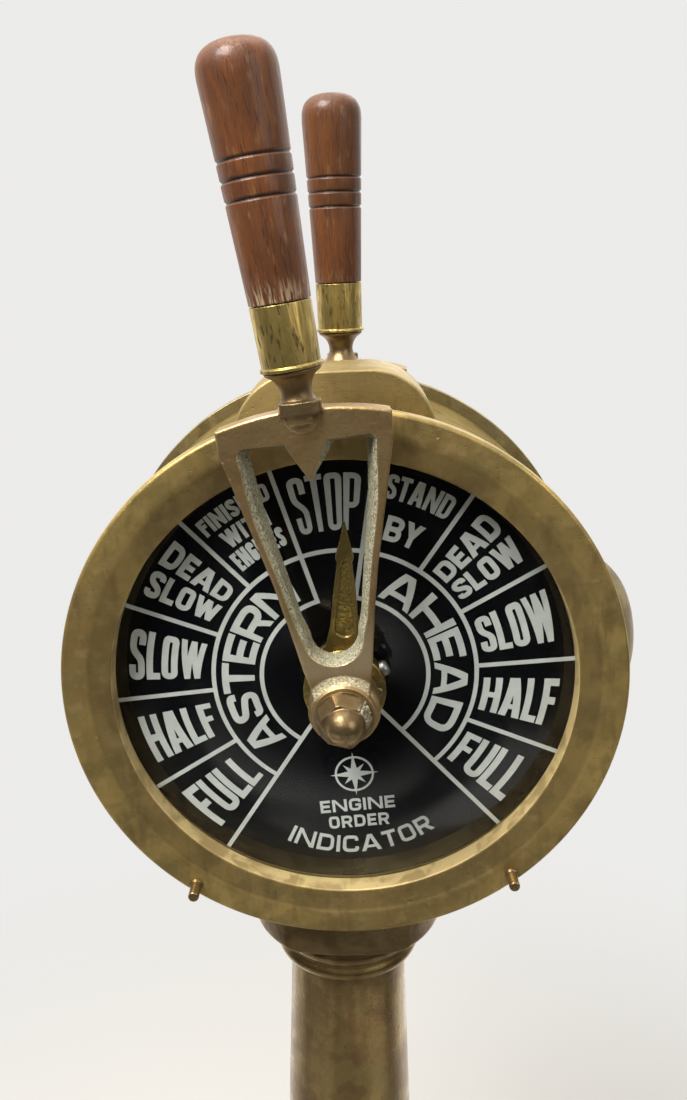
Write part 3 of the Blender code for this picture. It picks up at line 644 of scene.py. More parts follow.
def black_enamel(name):
    """The dial's gloss black, with a little dust."""
    shader = Shader(name)
    dust = shader.grain(2500, 0.70, 0.78, detail=2)
    haze = shader.grain(25, 0.4, 0.7, detail=4)
    colour = shader.coats((0.0028, 0.0030, 0.0042), (dust, 0.015, (0.5, 0.5, 0.5)))
    gloss = shader.span(haze, 0, 1, 0.22, 0.30)
    return shader.finish(Base_Color=colour, Roughness=gloss, Specular_IOR_Level=0.2)


def white_enamel(name):
    """The dial's off-white marks."""
    shader = Shader(name)
    haze = shader.grain(90, 0.35, 0.7, detail=5)
    colour = shader.mix(haze, (0.63, 0.65, 0.62), (0.72, 0.74, 0.71))
    relief = shader.relief((shader.grain(1500, 0.3, 0.7), 0.01))
    return shader.finish(Base_Color=colour, Roughness=0.5, Normal=relief)


def clear_glass(name):
    """Flat glass: it lets light straight through and mirrors more at a slant, with faint smears."""
    shader = Shader(name)
    shader.tree.nodes.remove(shader.surface)
    smears = shader.grain(30, 0.45, 0.8, stretch=(1, 1, 0.5), detail=5, twist=1.0)
    mirror = shader.add("ShaderNodeBsdfGlossy", {"Roughness": 0.045, "Color": (1, 1, 1, 1)})
    through = shader.add("ShaderNodeBsdfTransparent", {"Color": (0.965, 0.975, 0.97, 1)})
    film = shader.add("ShaderNodeBsdfDiffuse", {"Color": (0.5, 0.5, 0.48, 1)})
    inside = shader.add("ShaderNodeNewGeometry").outputs["Backfacing"]
    bend = shader.add("ShaderNodeFresnel", {"IOR": 1.5}).outputs[0]
    bend = shader.math("MULTIPLY", bend, shader.math("SUBTRACT", 1.0, inside))
    clear = shader.add("ShaderNodeMixShader", {0: bend, 1: through.outputs[0], 2: mirror.outputs[0]})
    share = shader.math("MULTIPLY", smears, 0.006)
    whole = shader.add("ShaderNodeMixShader", {0: share, 1: clear.outputs[0], 2: film.outputs[0]})
    target = next(n for n in shader.tree.nodes if n.type == "OUTPUT_MATERIAL")
    shader.tree.links.new(whole.outputs[0], target.inputs["Surface"])
    return shader.material


LOOKS = {
    "bezel_front": aged_brass("bezel_brass", "Y", (0.57, 0.405, 0.138), (0.33, 0.228, 0.082), True),
    # the back bezel: the bezel brass made darker and greyer, as painted shade
    "bezel_back": aged_brass("back_bezel_painted_shade_brass", "Y", (0.34, 0.28, 0.14), (0.19, 0.16, 0.08), True),
    "lamp": aged_brass("lamp_house_brass", "Y", (0.50, 0.37, 0.15), (0.36, 0.262, 0.105)),
    # the drum: the head's brass made darker, as painted shade between the bezels
    "drum": aged_brass("drum_painted_shade_brass", "Y", (0.27, 0.195, 0.068), (0.165, 0.12, 0.043), metal=0.6,
                       specular=0.1, tint=(0.45, 0.38, 0.14, 1)),
    "column": aged_brass("column_brass", "Z", (0.29, 0.185, 0.072), (0.185, 0.115, 0.046), sheen=0.14,
                         ridges=0.004),
    "cap": aged_brass("cap_brass", "X", (0.21, 0.155, 0.06), (0.135, 0.10, 0.04), metal=0.55),
    "lever": cast_brass("lever_brass", hub_painted_highlight=0.5),
    "nut": cast_brass("nut_brass", (0.32, 0.225, 0.108), (0.20, 0.137, 0.066), 0.4, 0.30),
    "saddle": cast_brass("saddle_brass", (0.26, 0.18, 0.08), (0.16, 0.105, 0.048)),
    "ferrule": ferrule_brass("ferrule_brass"),
    "wood_front": turned_wood("wood_front", 0.7),
    "wood_back": turned_wood("wood_back", 0.15, 0.72),
    "pointer": cast_brass("pointer_brass", (0.40, 0.30, 0.09), (0.18, 0.14, 0.05), 0.7, 0.30),
    "steel": plain_metal("machined_steel", (0.24, 0.24, 0.24), (0.42, 0.42, 0.41), 0.42),
    "iron": plain_metal("cast_iron", (0.07, 0.07, 0.07), (0.15, 0.145, 0.14), 0.55),
    "brass": plain_metal("inner_brass", (0.40, 0.30, 0.12), (0.58, 0.45, 0.20), 0.35),
    "dial": black_enamel("dial_black"),
    "marks": white_enamel("dial_white"),
    "glass": clear_glass("clear_glass"),
}


# ---------------------------------------------------------------- pedestal

def base_flange():
    """The bell-shaped foot with four bolt holes, each with a wider, shallow spot face."""
    outer = [(170, 0, 1), (170, 10, 2.5), (166, 14, 2.5), (140, 18, 10), (112, 26, 10), (90, 38, 8)]
    top = [(78, 50, 5), (74, 60, 0.8)]
    inner = [(58, 60), (76, 32, 8), (130, 8, 2), (130, 0, 0.6)]
    mesh = lathe(soften(outer + top + inner))
    for index in range(4):
        x, y = polar(HOLD_DOWN_CIRCLE, radians(HOLD_DOWN_ANGLE + 90 * index))
        for radius, bottom in ((6, -5), (11, 15.4)):
            hole = lathe([(0, 30), (radius, 30), (radius, bottom), (0, bottom)], segments=48)
            mesh = cut(mesh, moved(hole, (x, y, 0)))
    return mesh


def column():
    """The tapered tube, closely ringed so that its surface can be slightly uneven."""
    rings = 60
    outside = []
    for index in range(rings + 1):
        share = index / rings
        radius = COLUMN_TOP_RADIUS + (COLUMN_FOOT_RADIUS - COLUMN_TOP_RADIUS) * share
        outside.append((radius, COLUMN_HIGH + (COLUMN_LOW - COLUMN_HIGH) * share))
    wall = COLUMN_TOP_RADIUS - DUCT_RADIUS
    bore = [(COLUMN_FOOT_RADIUS - wall, COLUMN_LOW), (DUCT_RADIUS, COLUMN_HIGH)]
    return roughen(lathe(outside + bore), 60, 0.12)


def collar():
    """The ring of two beads between the column and the saddle."""
    beads = [(44.6, 0, 0.4), (46.4, 4, 2.2), (45.2, 8, 1.5), (43.6, 10.4, 1.2), (46.4, 15, 2.6)]
    foot = [(44.6, 19.4, 1.5), (39.6, 21.5, 0.6)]
    profile = [(radius, COLLAR_HIGH - drop, reach) for radius, drop, reach in beads + foot]
    profile += [(DUCT_RADIUS, COLLAR_LOW), (DUCT_RADIUS, COLLAR_HIGH)]
    return lathe(soften(profile))


def drum_clearance():
    """The drum's outside with a working gap, as a cutter."""
    return rod(DRUM_RADIUS + GAP, -HALF_DEPTH, HALF_DEPTH, segments=ROUND)


def saddle():
    """The cup under the drum: round, cut flat at the front and back."""
    outside = [(46, -SADDLE_FOOT), (52, -189.6, 2), (57, -187.4, 2), (60, -184, 2), (60, -120)]
    profile = outside + [(DUCT_RADIUS, -120), (DUCT_RADIUS, -SADDLE_FOOT)]
    flats = block((-70, 70), (-46, 46), (-200, -110))
    body = boolean(lathe(soften(profile)), flats, "INTERSECT")
    return melt([cut(body, drum_clearance())], FINE * 1.4, 3)


stand_in("base_flange", base_flange(), LOOKS["column"], GROUND)
stand_in("column", column(), LOOKS["column"], GROUND)
stand_in("collar", collar(), LOOKS["column"], GROUND)
stand_in("saddle", saddle(), LOOKS["saddle"], UPRIGHT, 60)


# ---------------------------------------------------------------- head

def drum_body():
    """The round shell, open to the lamp house, the pedestal and the side cap."""
    edge = HALF_DEPTH - FLANGE - GAP
    inside = DRUM_RADIUS - DRUM_WALL
    shell = lathe([(inside, -edge), (DRUM_RADIUS, -edge), (DRUM_RADIUS, edge), (inside, edge)], "Y")
    lamp_slot = block((-30, 30), (-18, 18), (120, 150))
    duct = lathe([(0, -120), (DUCT_RADIUS, -120), (DUCT_RADIUS, -150), (0, -150)], segments=64)
    port = lathe([(0, 150), (38, 150), (38, 120), (0, 120)], "X", 64)
    return cut(shell, lamp_slot, spun(duct, -HEAD_TURN), port)


def lamp_house():
    """The hump on top of the drum, its front and back edges a little rounded."""
    half_width, half_depth, top, corner, wall = 55.5, 25.7, 162, 37, 3

    def outline(inset, bottom):
        centre = (half_width - corner, top - corner)
        return mirrored([(half_width - inset, bottom)] + arc(corner - inset, pi / 2, 0, 28, centre))

    edge = 1.4
    sections = []
    for step in range(5):
        lean = radians(90 * step / 4)
        sections.append((-half_depth + edge * (1 - sin(lean)), outline(edge * (1 - cos(lean)), 118)))
    sections.reverse()
    sections += [(-y, shape) for y, shape in reversed(sections)]
    hollow = prism(outline(wall, 100), wall - half_depth, half_depth - wall)
    return cut(loft(sections), hollow, drum_clearance())


def side_cap():
    """The domed cover of the gong port."""
    outer = [(0, 169.3), (19.5, 167.3, 8), (31.8, 162.6, 6), (42.6, 153, 6), (47, 142, 5), (47, 128)]
    inner = [(44.2, 128), (44.2, 142), (40.2, 151.8), (30.4, 160.2), (19, 164.7), (0, 166.7)]
    return cut(lathe(soften(outer + inner, False), "X"), drum_clearance())


def bezel():
    """One glazed ring: a nearly flat face, a step, and a sloping inner wall."""
    face = [(124, 3.4, 1.3), (134.8, 1.0, 2.5), (137.4, 0, 2.2), (148.6, 0, 1.1), (150, 1.2, 0.9)]
    rim = [(150, 9.8, 0.8), (138.6, 9.8), (138.6, 25.8)]
    seats = [(129.4, 25.8), (129.4, 21.3), (126.8, 21.3), (126.8, 14.8), (124, 14.8, 0.5)]
    return turned(soften(face + rim + seats), int(ROUND * 1.3))


def stop_pin(angle):
    """A pin with a rounded end and a small shoulder where it meets the bezel."""
    profile = [(0, -12.5), (3, -12.5, 1.3), (3, -1.6, 0.4), (3.7, -1.2, 0.3)]
    profile += [(3.7, -0.2, 0.1), (3, -0.2), (3, 6), (0, 6)]
    x, z = polar(PIN_CIRCLE, angle)
    return moved(turned(soften(profile, False), 40), (x, 0, z))


def disc(front, back, radius, bore):
    """A round plate with a central hole and slightly broken edges."""
    profile = [(bore, front, 0.2), (radius, front, 0.2), (radius, back, 0.2), (bore, back, 0.2)]
    return turned(soften(profile, steps=2))


stand_in("drum_body", drum_body(), LOOKS["drum"], HEAD)
stand_in("lamp_house", lamp_house(), LOOKS["lamp"], HEAD)
stand_in("side_cap", side_cap(), LOOKS["cap"], HEAD)
for side in SIDES:
    face = side_frame(0, side, True)
    stand_in(f"{side}_bezel", bezel(), LOOKS[f"bezel_{side}"], face)
    stand_in(f"{side}_glass", disc(*GLASS_DEPTHS, GLASS_RADIUS, SHAFT_HOLE), LOOKS["glass"], face)
    stand_in(f"{side}_stop_pin_left", stop_pin(-PIN_ANGLE), LOOKS["nut"], face)
    stand_in(f"{side}_stop_pin_right", stop_pin(PIN_ANGLE), LOOKS["nut"], face)


# ---------------------------------------------------------------- dial marks

# Each letter's width against that of a common letter; I is as wide as its stroke.
LETTER_WIDTHS = {
    "A": 1.22, "D": 1.04, "E": 0.84, "F": 0.86, "H": 1.08,
    "L": 0.84, "N": 1.22, "S": 0.96, "T": 0.94, "W": 1.6,
}


def upright(x, low, high, t):
    """A vertical stroke whose left side is at x."""
    return [(x, low), (x + t, low), (x + t, high), (x, high)]


def level(left, right, y, t):
    """A horizontal stroke whose underside is at y."""
    return [(left, y), (right, y), (right, y + t), (left, y + t)]


def slanted(low_x, high_x, low, high, t):
    """A slanting stroke with level ends."""
    return [(low_x, low), (low_x + t, low), (high_x + t, high), (high_x, high)]


def stroked(path, t, bend):
    """A stroke of even thickness along a path, its inner corners rounded; a list of short pieces."""
    points = [Vector(spot) for spot in soften([(x, y, bend) for x, y in path], False, 7)]
    rails = []
    for index, point in enumerate(points):
        before = points[max(index - 1, 0)]
        after = points[min(index + 1, len(points) - 1)]
        along = (after - before).normalized()
        aside = Vector((-along.y, along.x)) * t / 2
        rails.append((point + aside, point - aside))
    pairs = zip(rails, rails[1:])
    return [[tuple(b[1]), tuple(d[1]), tuple(d[0]), tuple(b[0])] for b, d in pairs]


def letter(name, w, h, t):
    """The strokes of one block capital of a width, a height and a stroke thickness."""
    left, right, foot, head = t / 2, w - t / 2, t / 2, h - t / 2
    middle = h * 0.5
    bend = min(1.25 * t, 0.5 * (w - t))
    stem = upright(0, 0, h, t)
    far_stem = upright(w - t, 0, h, t)
    flat = level(0, w, h - t, t)
    slope = t * 1.12

    def hook(end):
        """A round of C or G, open on the right below its upper end."""
        path = [(right, 0.68 * h), (right, head), (left, head), (left, foot), (right, foot)]
        return stroked(path + [(right, end * h)], t, bend)

    def bowl(top, bottom, bend=bend):
        """The round of B, D, P or R, between two heights."""
        return stroked([(left, top), (right, top), (right, bottom), (left, bottom)], t, bend)

    if name == "A":
        peak = 1.5 * t
        side = [slanted(0, (w - peak) / 2, 0, h, slope)]
        side.append(slanted(w - slope, (w + peak) / 2 - slope, 0, h, slope))
        return side + [level(0.22 * w, 0.78 * w, 0.2 * h, 0.8 * t)]
    if name == "B":
        return [stem] + bowl(head, middle) + bowl(middle, foot)
    if name == "C":
        return hook(0.32)
    if name == "D":
        return [stem] + bowl(head, foot, bend * 1.2)
    if name == "E":
        return [stem, flat, level(0, 0.92 * w, (h - t) / 2, t), level(0, w, 0, t)]
    if name == "F":
        return [stem, flat, level(0, 0.88 * w, 0.46 * h, t)]
    if name == "G":
        return hook(0.5) + [level(0.52 * w, w, middle - t * 0.6, t * 0.9)]
    if name == "H":
        return [stem, far_stem, level(0, w, (h - t) / 2, t)]
    if name == "I":
        return [stem]
    if name == "L":
        return [stem, level(0, w, 0, t)]
    if name == "N":
        slope = min(slope, 0.3 * w)
        return [stem, far_stem, slanted(w - slope, 0, 0, h, slope)]
    if name == "O":
        path = [(w / 2, head), (right, head), (right, foot), (left, foot), (left, head), (w / 2, head)]
        return stroked(path, t, bend)
    if name in ("P", "R"):
        waist = 0.44 * h
        leg = [] if name == "P" else [slanted(w - slope, 0.42 * w, 0, waist, slope)]
        return [stem] + bowl(head, waist) + leg
    if name == "S":
        path = [(right, 0.70 * h), (right, head), (left, head), (left, 0.60 * h)]
        path += [(right, 0.40 * h), (right, foot), (left, foot), (left, 0.30 * h)]
        return stroked(path, t, min(bend, 0.17 * h))
    if name == "T":
        return [flat, upright((w - t) / 2, 0, h, t)]
    if name == "U":
        return stroked([(left, h), (left, foot), (right, foot), (right, h)], t, bend)
    if name == "W":
        slope = min(t * 1.04, 0.225 * w)
        quarter = 0.25 * (w - slope)
        lines = ((1, 0), (1, 2), (3, 2), (3, 4))
        return [slanted(low * quarter, high * quarter, 0, h, slope) for low, high in lines]
    arms = [slanted((w - slope) / 2, high, 0.42 * h, h, slope) for high in (0, w - slope)]
    return arms + [upright((w - t) / 2, 0, middle, t)]


def filled(polygons, place):
    """Maps overlapping polygons to their places; returns the points and triangles of their union."""
    points, rings = [], []
    for polygon in polygons:
        ring = []
        for start, end in zip(polygon, polygon[1:] + polygon[:1]):
            steps = max(1, int(Vector((end[0] - start[0], end[1] - start[1])).length / 1.2))
            for step in range(steps):
                share = step / steps
                ring.append(place(*(a + (b - a) * share for a, b in zip(start, end))))
        area = sum(a[0] * b[1] - b[0] * a[1] for a, b in zip(ring, ring[1:] + ring[:1]))
        if area < 0:
            ring.reverse()
        rings.append(range(len(points), len(points) + len(ring)))
        points += [Vector(spot) for spot in ring]
    verts, _, faces, _, _, sources = delaunay_2d_cdt(points, [], [list(r) for r in rings], 1, 1e-4)
    return verts, [face for face, source in zip(faces, sources) if source]


def raised(shapes, front, back):
    """Makes flat unions into one mesh of thin closed solids between two depths."""
    verts, faces = [], []
    for points, triangles in shapes:
        base, count = len(verts), len(points)
        for depth in (front, back):
            verts += [(point.x, behind(depth), point.y) for point in points]
        used = []
        for triangle in triangles:
            faces.append([base + index for index in triangle])
            faces.append([base + count + index for index in reversed(triangle)])
            used += zip(triangle, triangle[1:] + triangle[:1])
        both_ways = set(used)
        for start, end in used:
            if (end, start) not in both_ways:
                faces.append([base + start, base + count + start, base + count + end, base + end])
    return mesh_of(verts, faces)


def word(text, length, height, t, place, gap=None):
    """A word as flat unions: its letters fill a length, and place maps reading order and height."""
    gap = t * 0.3 if gap is None else gap
    wide = [name for name in text if name != "I"]
    free = length - gap * (len(text) - 1) - t * (len(text) - len(wide))
    unit = free / sum(LETTER_WIDTHS.get(name, 1) for name in wide)
    shapes = []
    start = 0
    for name in text:
        width = t if name == "I" else unit * LETTER_WIDTHS.get(name, 1)

        def here(x, y, start=start):
            return place(start + x, y)

        shapes.append(filled(letter(name, width, height, t), here))
        start += width + gap
    return shapes


def ring_word(text, angles, radii, t):
    """A word that runs clockwise with its tops outward."""
    start, end = (radians(angle) for angle in angles)
    low, high = radii
    middle = (low + high) / 2

    def place(along, up):
        return polar(low + up, start + along / middle)

    return word(text, (end - start) * middle, high - low, t, place)


def spoke_word(text, angles, radii, t):
    """A word along a radius with its tops towards the top of the dial; it reads from left to right."""
    upper, lower = sorted((radians(angle) for angle in angles), key=abs)
    inner, outer = radii
    middle = (inner + outer) / 2
    height = abs(lower - upper) * middle

    def place(along, up):
        angle = lower + (upper - lower) * up / height
        return polar(outer - along if lower < 0 else inner + along, angle)

    return word(text, outer - inner, height, t, place, 0.9)


def straight_word(text, xs, zs, t):
    """A level word."""
    def place(along, up):
        return xs[0] + along, zs[0] + up

    return word(text, xs[1] - xs[0], zs[1] - zs[0], t, place, t * 0.75)


def smile_word(text, centre, half_angle, radii, t):
    """A word on an arc below its centre, tops towards the centre."""
    inner, outer = radii
    middle = (inner + outer) / 2

    def place(along, up):
        x, z = polar(outer - up, pi + half_angle - along / middle)
        return centre[0] + x, centre[1] + z

    return word(text, 2 * half_angle * middle, outer - inner, t, place, t * 0.8)


# The dial's layout: radii in millimetres and angles in degrees. A ring word has its text, the
# angles of its two ends, the radii of its foot and top, and its stroke; a spoke word has its text,
# the angles of its two sides and its stroke.
HALF_LINE = 1.2
OUTER_ARC = 72.0
INNER_ARC = 45.6
LINE_FOOT = 17
LINE_END = 127.5
ORDER_LIMITS = (13, 39, 65, 91, 117)
END_LIMIT = 142
RING_WORDS = (
    ("FINISHED", (-36.7, -15.2), (106.6, 116.3), 2.2),
    ("WITH", (-34, -18), (94, 104), 2.3),
    ("ENGINES", (-36.2, -15.9), (80.8, 91.7), 2.15),
    ("STAND", (17.2, 36.5), (102.4, 115.6), 2.35),
    ("BY", (19.9, 32.8), (80.2, 94), 2.8),
    ("ASTERN", (-133, -22.5), (49.6, 67.6), 3.8),
    ("AHEAD", (26.5, 128.5), (49.2, 67.2), 3.8),
)
SPOKE_WORDS = (
    ("DEAD", (43.4, 51.1), 3.0),
    ("SLOW", (52.8, 60.7), 3.0),
    ("SLOW", (70.4, 85.5), 3.6),
    ("HALF", (96.6, 111.0), 3.7),
    ("FULL", (122.1, 137.1), 3.8),
)


def band(inner, outer, start, end, steps):
    """An arc of even width, as a row of quads."""
    near, far = (arc(radius, start, end, steps) for radius in (inner, outer))
    return [[near[i], near[i + 1], far[i + 1], far[i]] for i in range(steps)]


def dial_lines():
    """The arcs and radial lines between the orders."""
    def flat(x, z):
        return x, z

    polygons = []
    for radius, start, end in (
        (OUTER_ARC, -END_LIMIT, END_LIMIT),
        (INNER_ARC, -END_LIMIT, -ORDER_LIMITS[0]),
        (INNER_ARC, ORDER_LIMITS[0], END_LIMIT),
    ):
        steps = int((end - start) / 2)
        polygons += band(radius - HALF_LINE, radius + HALF_LINE, radians(start), radians(end), steps)
    for angle in ORDER_LIMITS + (END_LIMIT,):
        foot = {ORDER_LIMITS[0]: INNER_ARC - HALF_LINE, END_LIMIT: LINE_FOOT}.get(angle, OUTER_ARC)
        for sign in (-1, 1):
            along = Vector(polar(1, radians(sign * angle)))
            aside = Vector((along.y, -along.x)) * HALF_LINE
            low, high = along * foot, along * LINE_END
            corners = (low - aside, low + aside, high + aside, high - aside)
            polygons.append([tuple(spot) for spot in corners])
    return [filled(polygons, flat)]


def compass_star(centre, radius):
    """A plain eight-pointed compass star inside a thin ring."""
    def place(x, z):
        return centre[0] + x, centre[1] + z

    polygons = []
    for index in range(8):
        reach, waist = (radius, 0.2) if index % 2 == 0 else (radius * 0.62, 0.17)
        angle = pi / 4 * index
        sides = [polar(radius * waist, angle + turn) for turn in (-pi / 4, pi / 4)]
        polygons.append([sides[0], polar(reach, angle), sides[1], (0, 0)])
    polygons += band(radius * 0.73, radius * 0.82, 0, 2 * pi, 48)
    return [filled(polygons, place)]


def dial_words(swap):
    """Every order, the two directions and the title; swap puts ahead on the left."""
    shapes = ring_word("STOP", (-10.1, 10.2), (83, 113.8), 3.0)
    for text, (start, end), radii, stroke in RING_WORDS:
        angles = (-end, -start) if swap else (start, end)
        shapes += ring_word(text, angles, radii, stroke)
    for text, (near, far), stroke in SPOKE_WORDS:
        shapes += spoke_word(text, (-near, -far), (76.8, 118.2), stroke)
        shapes += spoke_word(text, (near, far), (76.0, 117.6), stroke)
    shapes += compass_star((-1, -60.5), 13.5)
    shapes += straight_word("ENGINE", (-22.5, 20.2), (-84.0, -76.2), 1.6)
    shapes += straight_word("ORDER", (-18.6, 16.0), (-94.6, -86.9), 1.6)
    shapes += smile_word("INDICATOR", (-1, -27), radians(30.5), (73.4, 84.2), 2.0)
    return shapes


for side in SIDES:
    back = side == "back"
    where = side_frame(0 if back else DIAL_TURN, side, True)
    stand_in(f"{side}_dial", disc(*DIAL_DEPTHS, DIAL_RADIUS, SHAFT_HOLE), LOOKS["dial"], where)
    marks = raised(dial_lines() + dial_words(back), *MARK_DEPTHS)
    piece(f"{side}_dial_marks", marks, "pedestal", LOOKS["marks"], where, "dial_black")


# ---------------------------------------------------------------- levers

def leaned(mesh, angle):
    """Stands a piece of the handle on the lever and tips it about the crossbar."""
    moved(mesh, (0, 0, -LEAN_HEIGHT))
    spun(mesh, angle)
    return moved(mesh, (0, behind(HANDLE_DEPTH), LEAN_HEIGHT))


def handle_frame(side):
    """Where the handle's own frame stands, with its axis along z."""
    lever = side_frame(LEVER_TURN[side], side)
    tip = Matrix.Translation((0, behind(HANDLE_DEPTH) * MM, LEAN_HEIGHT * MM))
    tip = tip @ Matrix.Rotation(HANDLE_LEAN[side], 4, "Y")
    return lever @ tip @ Matrix.Translation((0, 0, -LEAN_HEIGHT * MM))


def lever_outline(inset=0.0):
    """The A-frame from outside, drawn in by an inset."""
    leg = [(14, 8), (17.6, 26), (21.5, 50), (26, 74), (34.5, 109), (41.2, 138)]
    corner = asin(CROSSBAR_HALF_WIDTH / CROSSBAR_RADIUS)
    half = [(x - inset, z) for x, z in leg]
    return mirrored(half + arc(CROSSBAR_RADIUS - inset, corner - inset / CROSSBAR_RADIUS, 0, 10))


def window_outline(share, pinch=0.0):
    """The opening between the legs, widened by a share of each point's own bevel, pinched at its top."""
    bend = [(x, z, 2.2 - 0.1 * (40 - z)) for x, z in arc(13, pi, pi / 2, 9, (0, 40))]
    leg = [(16, 50, 2.2), (20.5, 73, 2.2), (28, 106, 2.2), (32, 137, 1.2)]
    crossbar = [(30.5, 139.5, 0.5), (10, 139.5, 0.3), (0, 120, 0)]
    half = bend + leg + crossbar
    full = half + [(-x, z, grow) for x, z, grow in reversed(half) if x > 1e-9]
    grown = []
    for index, (x, z, grow) in enumerate(full):
        before = Vector(full[index - 1][:2])
        after = Vector(full[(index + 1) % len(full)][:2])
        along = (after - before).normalized()
        side = 0 if abs(x) < 1 else 1 if x > 0 else -1
        on_arrow = abs(x) < 12 and z > 130
        inward = pinch * max(0.0, z - 60) / 80 * (-side if on_arrow else side)
        drop = pinch * 1.1 if z > 138 else 0
        grown.append((x + along.y * grow * share - inward, z - along.x * grow * share - drop))
    return grown


def mark_walls(mesh):
    """Stores how far each point lies on the rough walls of the window, or around the hub."""
    outline = [Vector(point) for point in window_outline(0.1, 1.4)]
    sides = list(zip(outline, outline[1:] + outline[:1]))
    wall_reach, steepest = 4.2, 0.75
    hub_edge, hub_reach = 16.2, 21.6
    values = []
    for vertex in mesh.vertices:
        spot = Vector((vertex.co.x, vertex.co.z))
        flatness = abs(vertex.normal.y)
        value = 0.0
        if flatness < steepest and 22 < spot.y < 142 and abs(spot.x) < 36:
            away = min((spot - nearest_on(spot, start, end)).length for start, end in sides)
            value = max(0.0, min(1.0, (wall_reach - away) / 0.8))
            value *= min(1.0, (steepest - flatness) / 0.2)
            value *= 0.45 if vertex.normal.z < -0.6 and spot.y > 128 else 1
        around = min(1.0, (spot.length - hub_edge) / 0.8, (hub_reach - spot.length) / 1.2)
        if vertex.co.y < behind(LEVER_FRONT) + 0.3 and spot.y > 0 and around > 0:
            value = max(value, 0.7 * around * min(1.0, spot.y / 12))
        values.append(value)
    return with_walls(mesh, values)


def with_walls(mesh, values):
    """Stores a value at each point, for the crust that a material shows there."""
    mesh.attributes.new("walls", "FLOAT", "POINT").data.foreach_set("value", values)
    return mesh


def nearest_on(spot, start, end):
    """The nearest point of a segment."""
    along = end - start
    share = (spot - start).dot(along) / along.length_squared
    return start + along * max(0.0, min(1.0, share))


def lever_casting(side):
    """Hub, A-frame, bosses, neck and tang, fused like one casting."""
    front, back = behind(LEVER_FRONT), behind(LEVER_BACK)
    plate = loft([
        (front, lever_outline(0.9)),
        (front + 1.0, lever_outline()),
        (back - 0.6, lever_outline(0.4)),
        (back, lever_outline(1.0)),
    ])
    window = loft([
        (front - 1, window_outline(1.25)),
        (front + 3.6, window_outline(0, 0.6)),
        (back + 1, window_outline(-0.5, 3.2)),
    ])
    hub = [(0, -1.4), (16.8, -1.4, 1.5), (18.3, -8, 2), (18.5, -23.6, 2), (16.2, -25.4, 0.6)]
    rim = [(16, -28.8, 0.6), (11.5, -29, 0.4), (11.5, -27.6), (0, -27.6)]
    hub_mesh = turned(soften(hub + rim, False), 96)
    flare = [(0, -20), (21.6, -20), (21.6, -24.7), (18, -26, 2), (15.8, -28.2, 0.6), (0, -28.2)]
    flare = turned(soften(flare, False), 96)
    flare = boolean(flare, prism(lever_outline(0.3), front - 6, back - 4), "INTERSECT")
    trumpet = [(0, 148), (10.8, 148, 0.3), (11.2, 154.2, 0.8), (9.2, 156.9, 2), (7.3, 160.8, 2.5)]
    lip = FERRULE_FOOT - GAP
    trumpet += [(7.7, 165, 2), (9.8, 169, 2), (13.6, 171.4, 0.8), (13.8, lip, 0.2), (TANG_RADIUS, lip)]
    tang = [(TANG_RADIUS, TANG_TOP), (0, TANG_TOP)]
    neck = lathe(soften(trumpet + tang, False), segments=72)
    swell = [(x * 9.9, front - z * 3.9) for x, z in arc(1, -pi / 2, pi / 2, 24)]
    swell += [(9.9, front + 6), (-9.9, front + 6)]
    boss = loft([(152.4, swell), (158.4, swell)], "Z")
    tongue = mirrored([(0.001, 144)] + arc(8.6, pi * 0.98, pi / 2, 8, (0, 152.5)) + [(8.6, 154)])
    tongue = prism(tongue, front - 0.7, front + 3)
    leaning = leaned(neck, HANDLE_LEAN[side])
    skin = melt([cut(plate, window), hub_mesh, flare, leaning, boss, tongue], FINE, 2)
    skin = cut(skin, rod(SHAFT_RADIUS + GAP, behind(-60), behind(0)))
    roughen(skin, 9, 0.16)
    return mark_walls(roughen(skin, 1.7, 0.06, 3.0))


def lever_ferrule():
    """The brass tube, with a lip at its foot and a rolled upper end."""
    bore, foot, head = TANG_RADIUS + GAP, FERRULE_FOOT, GRIP_FOOT - GAP
    outside = [(bore, foot), (15, foot, 0.4), (15, foot + 1.5, 0.4), (13.9, 175.1, 0.3), (14.0, 176, 0.3)]
    outside += [(FERRULE_RADIUS, head, 0.4), (bore, head)]
    return lathe(soften(outside), segments=120)


def grip_radius(height):
    """The grip's half thickness, widening evenly towards the top."""
    growth = GRIP_WIDEST_RADIUS - FERRULE_RADIUS
    return FERRULE_RADIUS + growth * (height - GRIP_FOOT) / (GRIP_WIDEST - GRIP_FOOT)


def lever_grip():
    """The turned wooden grip: a domed top, three V grooves and an eased foot."""
    top = [(0, GRIP_TOP), (7.5, 312.5, 3), (12.4, 310.8, 3), (15.9, 307.8, 3), (17.7, 303.8, 3)]
    profile = top + [(grip_radius(GRIP_WIDEST), GRIP_WIDEST, 3)]
    for groove in reversed(GRIP_GROOVES):
        profile.append((grip_radius(groove + 1.1), groove + 1.1, 0.35))
        profile.append((grip_radius(groove) - 0.95, groove, 0.3))
        profile.append((grip_radius(groove - 1.1), groove - 1.1, 0.35))
    bore = TANG_RADIUS + GAP
    profile += [(grip_radius(GRIP_FOOT), GRIP_FOOT + 0.2, 0.6), (bore, GRIP_FOOT + 0.2)]
    profile += [(bore, TANG_TOP + 1), (0, TANG_TOP + 1)]
    mesh = lathe(soften(profile, False, 4), segments=140)
    return roughen(mesh, 14, 0.12, 5.0)


def hub_washer():
    """The washer under the cap nut, worn to a soft edge."""
    return disc(-31.2, -29.3, 14.5, SHAFT_RADIUS + GAP)


